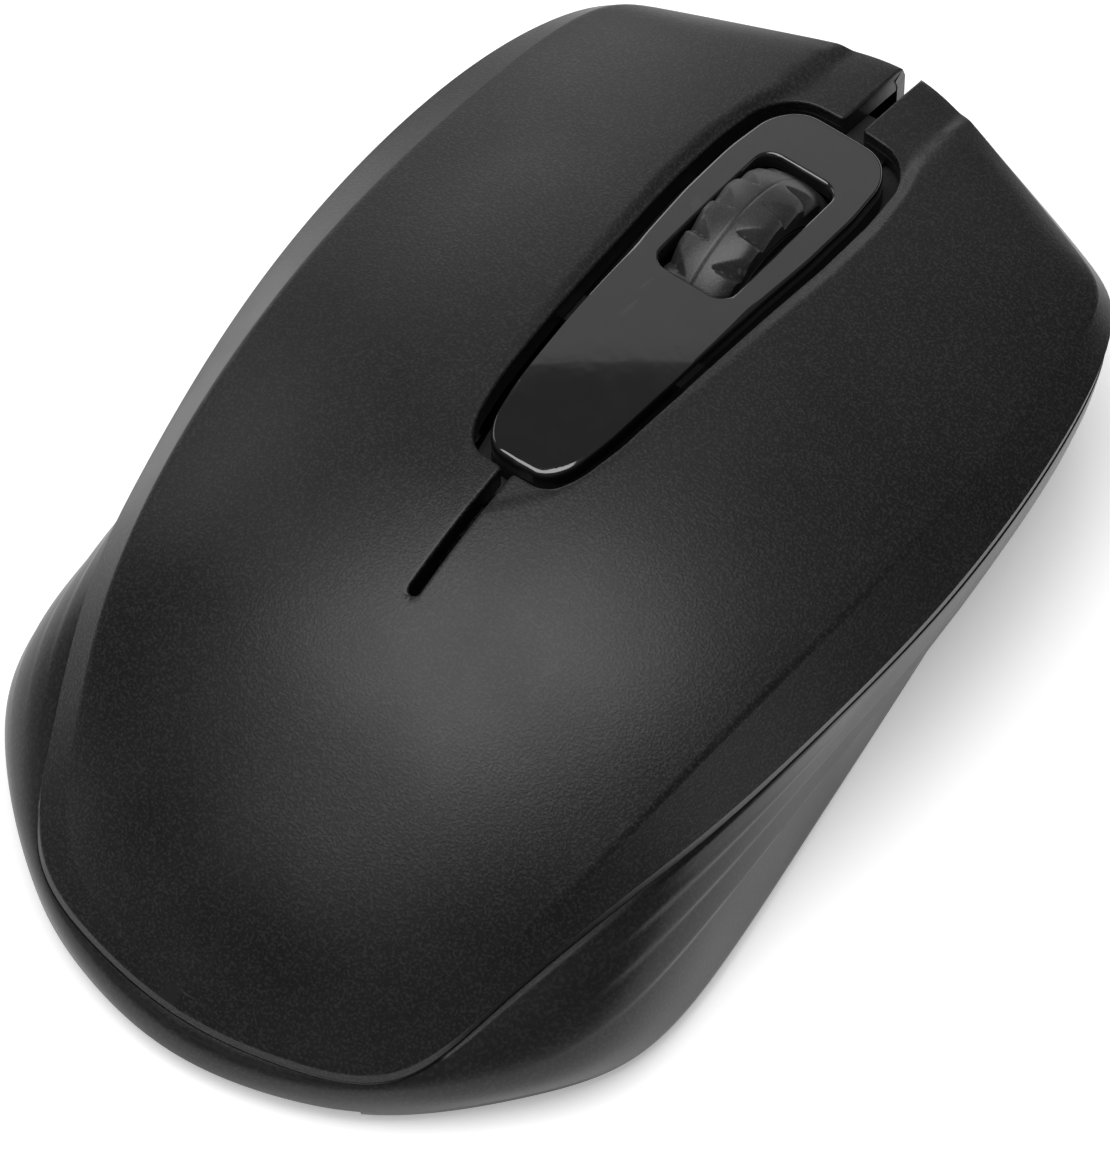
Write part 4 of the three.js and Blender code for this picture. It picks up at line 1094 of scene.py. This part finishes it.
    def build(self) -> bpy.types.Object:
        """Builds the casing.

        Returns:
            The finished piece.
        """
        bm = grid_mesh(self.rows())
        mirror_merge(bm)
        open_edges = [e for e in bm.edges if e.is_boundary]
        bmesh.ops.holes_fill(bm, edges=open_edges, sides=0)
        bmesh.ops.recalc_face_normals(bm, faces=bm.faces[:])
        made = new_object("lower_shell", bm, self.finishes["casing"])
        carve(made, self.openings())
        return settle(made, Body.CASING, "lower_casing")


# ---------------------------------------------------------------- scroll wheel

@dataclass
class ScrollTyre:
    """Rubber tyre with a mould line and two staggered rows of wedge notches.

    Attributes:
        finishes: The materials.
        notches: Number of notches on each side.
        around: Steps round the tyre.
        depth: Deepest point of a notch, in millimetres.
        crown: How much the tread falls away towards its sides, in millimetres.
        inner_wall: Height of the tyre over its hub, in millimetres.
        line: Depth of the mould line, in millimetres.
        line_width: How far the mould line reaches on each side, in millimetres.
        rows: Rows from the middle to each side.
        apex: Share of the half width at which the notches start.
        ridge: Place of a notch's deepest line, from -1 to 1 across it.
    """
    finishes: Finishes
    notches: int = 18
    around: int = 432
    depth: float = 0.85
    crown: float = 0.9
    inner_wall: float = 2.6
    line: float = 0.07
    line_width: float = 0.09
    rows: int = 30
    apex: float = 0.22
    ridge: float = 0.55

    def __post_init__(self) -> None:
        """Reads the tyre's place from the frame."""
        low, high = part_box("wheel_tyre")
        self.centre = (low + high) / 2
        self.radius = (high.z - low.z) / 2
        self.half = (high.x - low.x) / 2

    def tread(self, share: float) -> float:
        """Radius of the tread at a share of the half width."""
        line = self.line * MM * math.exp(-(share * self.half / (self.line_width * MM)) ** 2)
        shoulder = 0.55 * abs(share) ** 2.2 + 0.45 * abs(share) ** 9
        return self.radius - self.crown * MM * shoulder - line

    def notch(self, share: float, turn: float, side: int) -> float:
        """Depth of the notches on one side.

        Args:
            share: Share of the half width, from the middle to the side.
            turn: Angle round the axle.
            side: 1 or -1.

        Returns:
            Depth in metres.
        """
        reach = (share - self.apex) / (1 - self.apex)
        if reach <= 0:
            return 0.0
        pitch = 2 * math.pi / self.notches
        offset = 0.5 * pitch if side > 0 else 0.0
        around = ((turn - offset + pitch / 2) % pitch - pitch / 2) * self.radius / MM
        middle = 1.1 * (1 - reach) - 0.3
        half = 1.25 * reach ** 0.8
        place = (around - middle) / half
        if abs(place) >= 1:
            return 0.0
        ridge = self.ridge
        facet = (place + 1) / (1 + ridge) if place < ridge else (1 - place) / (1 - ridge)
        return self.depth * MM * reach ** 0.7 * facet

    def build(self) -> bpy.types.Object:
        """Builds the tyre.

        Returns:
            The finished piece.
        """
        bm = bmesh.new()
        inner = self.radius - self.inner_wall * MM
        shares = [math.copysign(abs(k / self.rows) ** 0.9, k) for k in range(-self.rows, self.rows + 1)]
        shoulder = (inner + self.tread(1)) / 2
        section = [(-self.half, inner), (-self.half, shoulder)]
        section += [(s * self.half, self.tread(s)) for s in shares]
        section += [(self.half, shoulder), (self.half, inner)]
        verts = [bm.verts.new((x, 0, r)) for x, r in section]
        edges = [bm.edges.new(pair) for pair in zip(verts, verts[1:] + verts[:1])]
        bmesh.ops.spin(bm, geom=verts + edges, cent=(0, 0, 0), axis=(1, 0, 0), angle=2 * math.pi,
                       steps=self.around, use_merge=True)
        bmesh.ops.remove_doubles(bm, verts=bm.verts[:], dist=FINEST_MERGE)
        for vertex in bm.verts:
            radius = math.hypot(vertex.co.y, vertex.co.z)
            share = abs(vertex.co.x) / self.half
            if radius > self.tread(1) - 0.1 * MM and share > 0.2:
                side = 1 if vertex.co.x > 0 else -1
                cut = self.notch(share, math.atan2(vertex.co.y, vertex.co.z), side)
                vertex.co.yz = vertex.co.yz * (1 - cut / radius)
        bmesh.ops.recalc_face_normals(bm, faces=bm.faces[:])
        bmesh.ops.translate(bm, verts=bm.verts[:], vec=self.centre)
        made = new_object("scroll_tyre", bm, self.finishes["tyre"], sharp=30)
        return settle(made, Body.WHEEL, "wheel_tyre")


# ---------------------------------------------------------------- small parts

SLOT_OF_NODE = {
    **dict.fromkeys(("palm_cover", "left_button", "right_button"), "shell"),
    **dict.fromkeys(("lower_casing", "battery_door"), "casing"),
    **dict.fromkeys(("front_glide", "rear_glide_left", "rear_glide_right"), "glide"),
    **dict.fromkeys(("encoder_body", "left_switch_body", "right_switch_body", "middle_switch_body",
                     "sensor_chip", "radio_chip", "capacitor", "power_switch_body"), "chip"),
    **dict.fromkeys(("encoder_rotor", "left_switch_plunger", "right_switch_plunger",
                     "middle_switch_plunger", "power_switch_knob"), "plunger"),
    **dict.fromkeys(("crystal", "battery_contact", "battery_spring", "receiver_plug", "casing_screw_left",
                     "casing_screw_right", "casing_screw_front", "board_screw_left",
                     "board_screw_right"), "metal"),
    "wheel_trim": "gloss", "wheel_tyre": "tyre", "circuit_board": "board", "sensor_lens": "lens",
    "sensor_led": "lamp", "battery_cell": "cell",
}


@dataclass
class SmallParts:
    """The pieces whose shape the frame has right: softened copies below, better finishes inside.

    Attributes:
        finishes: The materials.
        soften: Pieces to soften: node, name, body and width of the bevel in millimetres.
    """
    finishes: Finishes
    soften: tuple[tuple[str, str, Body, float], ...] = (
        ("battery_door", "door_panel", Body.DOOR, 0.15),
        ("front_glide", "glide_front", Body.CASING, 0.25),
        ("rear_glide_left", "glide_rear_left", Body.CASING, 0.25),
        ("rear_glide_right", "glide_rear_right", Body.CASING, 0.25),
        ("power_switch_knob", "switch_knob", Body.KNOB, 0.15))

    @staticmethod
    def slot_of(node: bpy.types.Object) -> str:
        """Slot of the record whose pieces include a node."""
        return SLOT_OF_NODE.get(node.name, "frame")

    def softened(self, node: str, name: str, body: Body, width: float) -> bpy.types.Object:
        """Copy of a node with bevelled corners.

        Args:
            node: Node of the frame.
            name: Name of the piece.
            body: Body that it rides on.
            width: Width of the bevel, in millimetres.

        Returns:
            The finished piece.
        """
        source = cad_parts[node]
        bm = bmesh.new()
        bm.from_mesh(source.data)
        bmesh.ops.remove_doubles(bm, verts=bm.verts[:], dist=FINE_MERGE)
        bmesh.ops.dissolve_limit(bm, angle_limit=math.radians(1), verts=bm.verts[:], edges=bm.edges[:])
        corners = [e for e in bm.edges if len(e.link_faces) == 2 and e.calc_face_angle(0) > math.radians(35)]
        bmesh.ops.bevel(bm, geom=corners, offset=width * MM, affect="EDGES", segments=3, profile=0.5,
                        material=-1, clamp_overlap=True)
        slot = self.slot_of(source)
        return settle(new_object(name, bm, self.finishes[slot]), body, node)

    def build(self) -> None:
        """Softens the pieces that show and dresses the rest."""
        for node, name, body, width in self.soften:
            self.softened(node, name, body, width)
        for name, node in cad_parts.items():
            finish = self.finishes[self.slot_of(node)]
            for slot in node.material_slots:
                slot.material = finish
            if not node.material_slots:
                log.warning("%s has no material slot", name)


# ---------------------------------------------------------------- studio

@dataclass
class Studio:
    """Pale floor, soft lights and the camera.

    Attributes:
        azimuth: Where the camera stands round the mouse, in degrees.
        elevation: Its height above the horizon, in degrees.
        roll: Its tilt, in degrees.
        distance: From the target.
        target: Point in the middle of the picture.
        lens: Focal length for the sensor, in millimetres.
        sensor: Width of the sensor, in millimetres.
        glow: Strength of the floor's own light.
        ambient: Strength of the light from all round.
        aim: Place the lights point at.
        panels: The lights: name, place, size and power in watts.
    """
    azimuth: float = 217.06
    elevation: float = 58.0
    roll: float = -1.24
    distance: float = 0.90158
    target: tuple[float, float, float] = (-0.004275, 0.004864, 0.015)
    lens: float = 355.65
    sensor: float = 36
    glow: float = 0.38
    ambient: float = 0.07
    aim: tuple[float, float, float] = (0, 0, 0.015)
    panels: tuple[tuple[str, tuple[float, float, float], tuple[float, float], float], ...] = (
        ("over", (0.08, 0.15, 1.1), (0.8, 1.3), 13.5),
        ("front", (0.62, -0.7, 0.3), (0.4, 0.3), 0.8),
        ("side", (0.8, -0.1, 0.5), (0.5, 0.4), 0.8),
        ("front_high", (0.35, -0.9, 0.65), (0.9, 0.5), 0.7))

    def camera(self) -> None:
        """Makes the scene's camera."""
        a, e, r = (math.radians(x) for x in (self.azimuth, self.elevation, self.roll))
        back = Vector((math.sin(a) * math.cos(e), -math.cos(a) * math.cos(e), math.sin(e)))
        level = Vector((math.cos(a), math.sin(a), 0))
        upright = back.cross(level)
        right = level * math.cos(r) + upright * math.sin(r)
        up = upright * math.cos(r) - level * math.sin(r)
        data = bpy.data.cameras.new("camera")
        data.lens = self.lens
        data.sensor_width = self.sensor
        data.clip_start = 0.05
        data.clip_end = 20
        camera = bpy.data.objects.new("camera", data)
        bpy.context.scene.collection.objects.link(camera)
        turn = Matrix((right, up, back)).transposed().to_4x4()
        camera.matrix_world = Matrix.Translation(Vector(self.target) + back * self.distance) @ turn
        bpy.context.scene.camera = camera

    def panel(self, name: str, place: tuple[float, float, float], size: tuple[float, float],
              power: float) -> None:
        """Adds a soft rectangular light.

        Args:
            name: Name of the light.
            place: Its centre.
            size: Its width and height.
            power: Its power, in watts.
        """
        data = bpy.data.lights.new(name, "AREA")
        data.shape = "RECTANGLE"
        data.size, data.size_y = size
        data.energy = power
        light = bpy.data.objects.new(name, data)
        light.location = place
        direction = Vector(self.aim) - Vector(place)
        light.rotation_euler = direction.to_track_quat("-Z", "Y").to_euler()
        bpy.context.scene.collection.objects.link(light)

    def floor(self) -> None:
        """Makes the pale floor."""
        bm = bmesh.new()
        bmesh.ops.create_grid(bm, x_segments=1, y_segments=1, size=4)
        bmesh.ops.translate(bm, verts=bm.verts[:], vec=(0, 0, -0.05 * MM))
        pale = Moulded("floor_pale", (0.86, 0.86, 0.86), 0.7, grain=6 * MM, bump=0.001 * MM,
                       speckle=0.0, wear=0)
        material = pale.build()
        shader = material.node_tree.nodes["Principled BSDF"]
        shader.inputs["Emission Color"].default_value = (1, 1, 1, 1)
        shader.inputs["Emission Strength"].default_value = self.glow
        new_object("floor", bm, material)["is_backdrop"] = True

    def build(self) -> None:
        """Builds the studio."""
        self.floor()
        world = bpy.data.worlds.new("studio")
        world.use_nodes = True
        background = world.node_tree.nodes["Background"]
        background.inputs["Color"].default_value = (1, 1, 1, 1)
        background.inputs["Strength"].default_value = self.ambient
        bpy.context.scene.world = world
        for name, place, size, power in self.panels:
            self.panel(name, place, size, power)
        bpy.context.scene.view_settings.view_transform = "Standard"
        self.camera()


def main() -> None:
    """Builds every sub-assembly in order."""
    logging.basicConfig(level=logging.INFO, format="%(message)s")
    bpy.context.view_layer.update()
    form = Form()
    finishes = Finishes()
    TopShell(form, finishes).build()
    WheelTrim(form, finishes).build()
    LowerCasing(form, finishes).build()
    ScrollTyre(finishes).build()
    SmallParts(finishes).build()
    Studio().build()


if __name__ == "__main__":
    main()
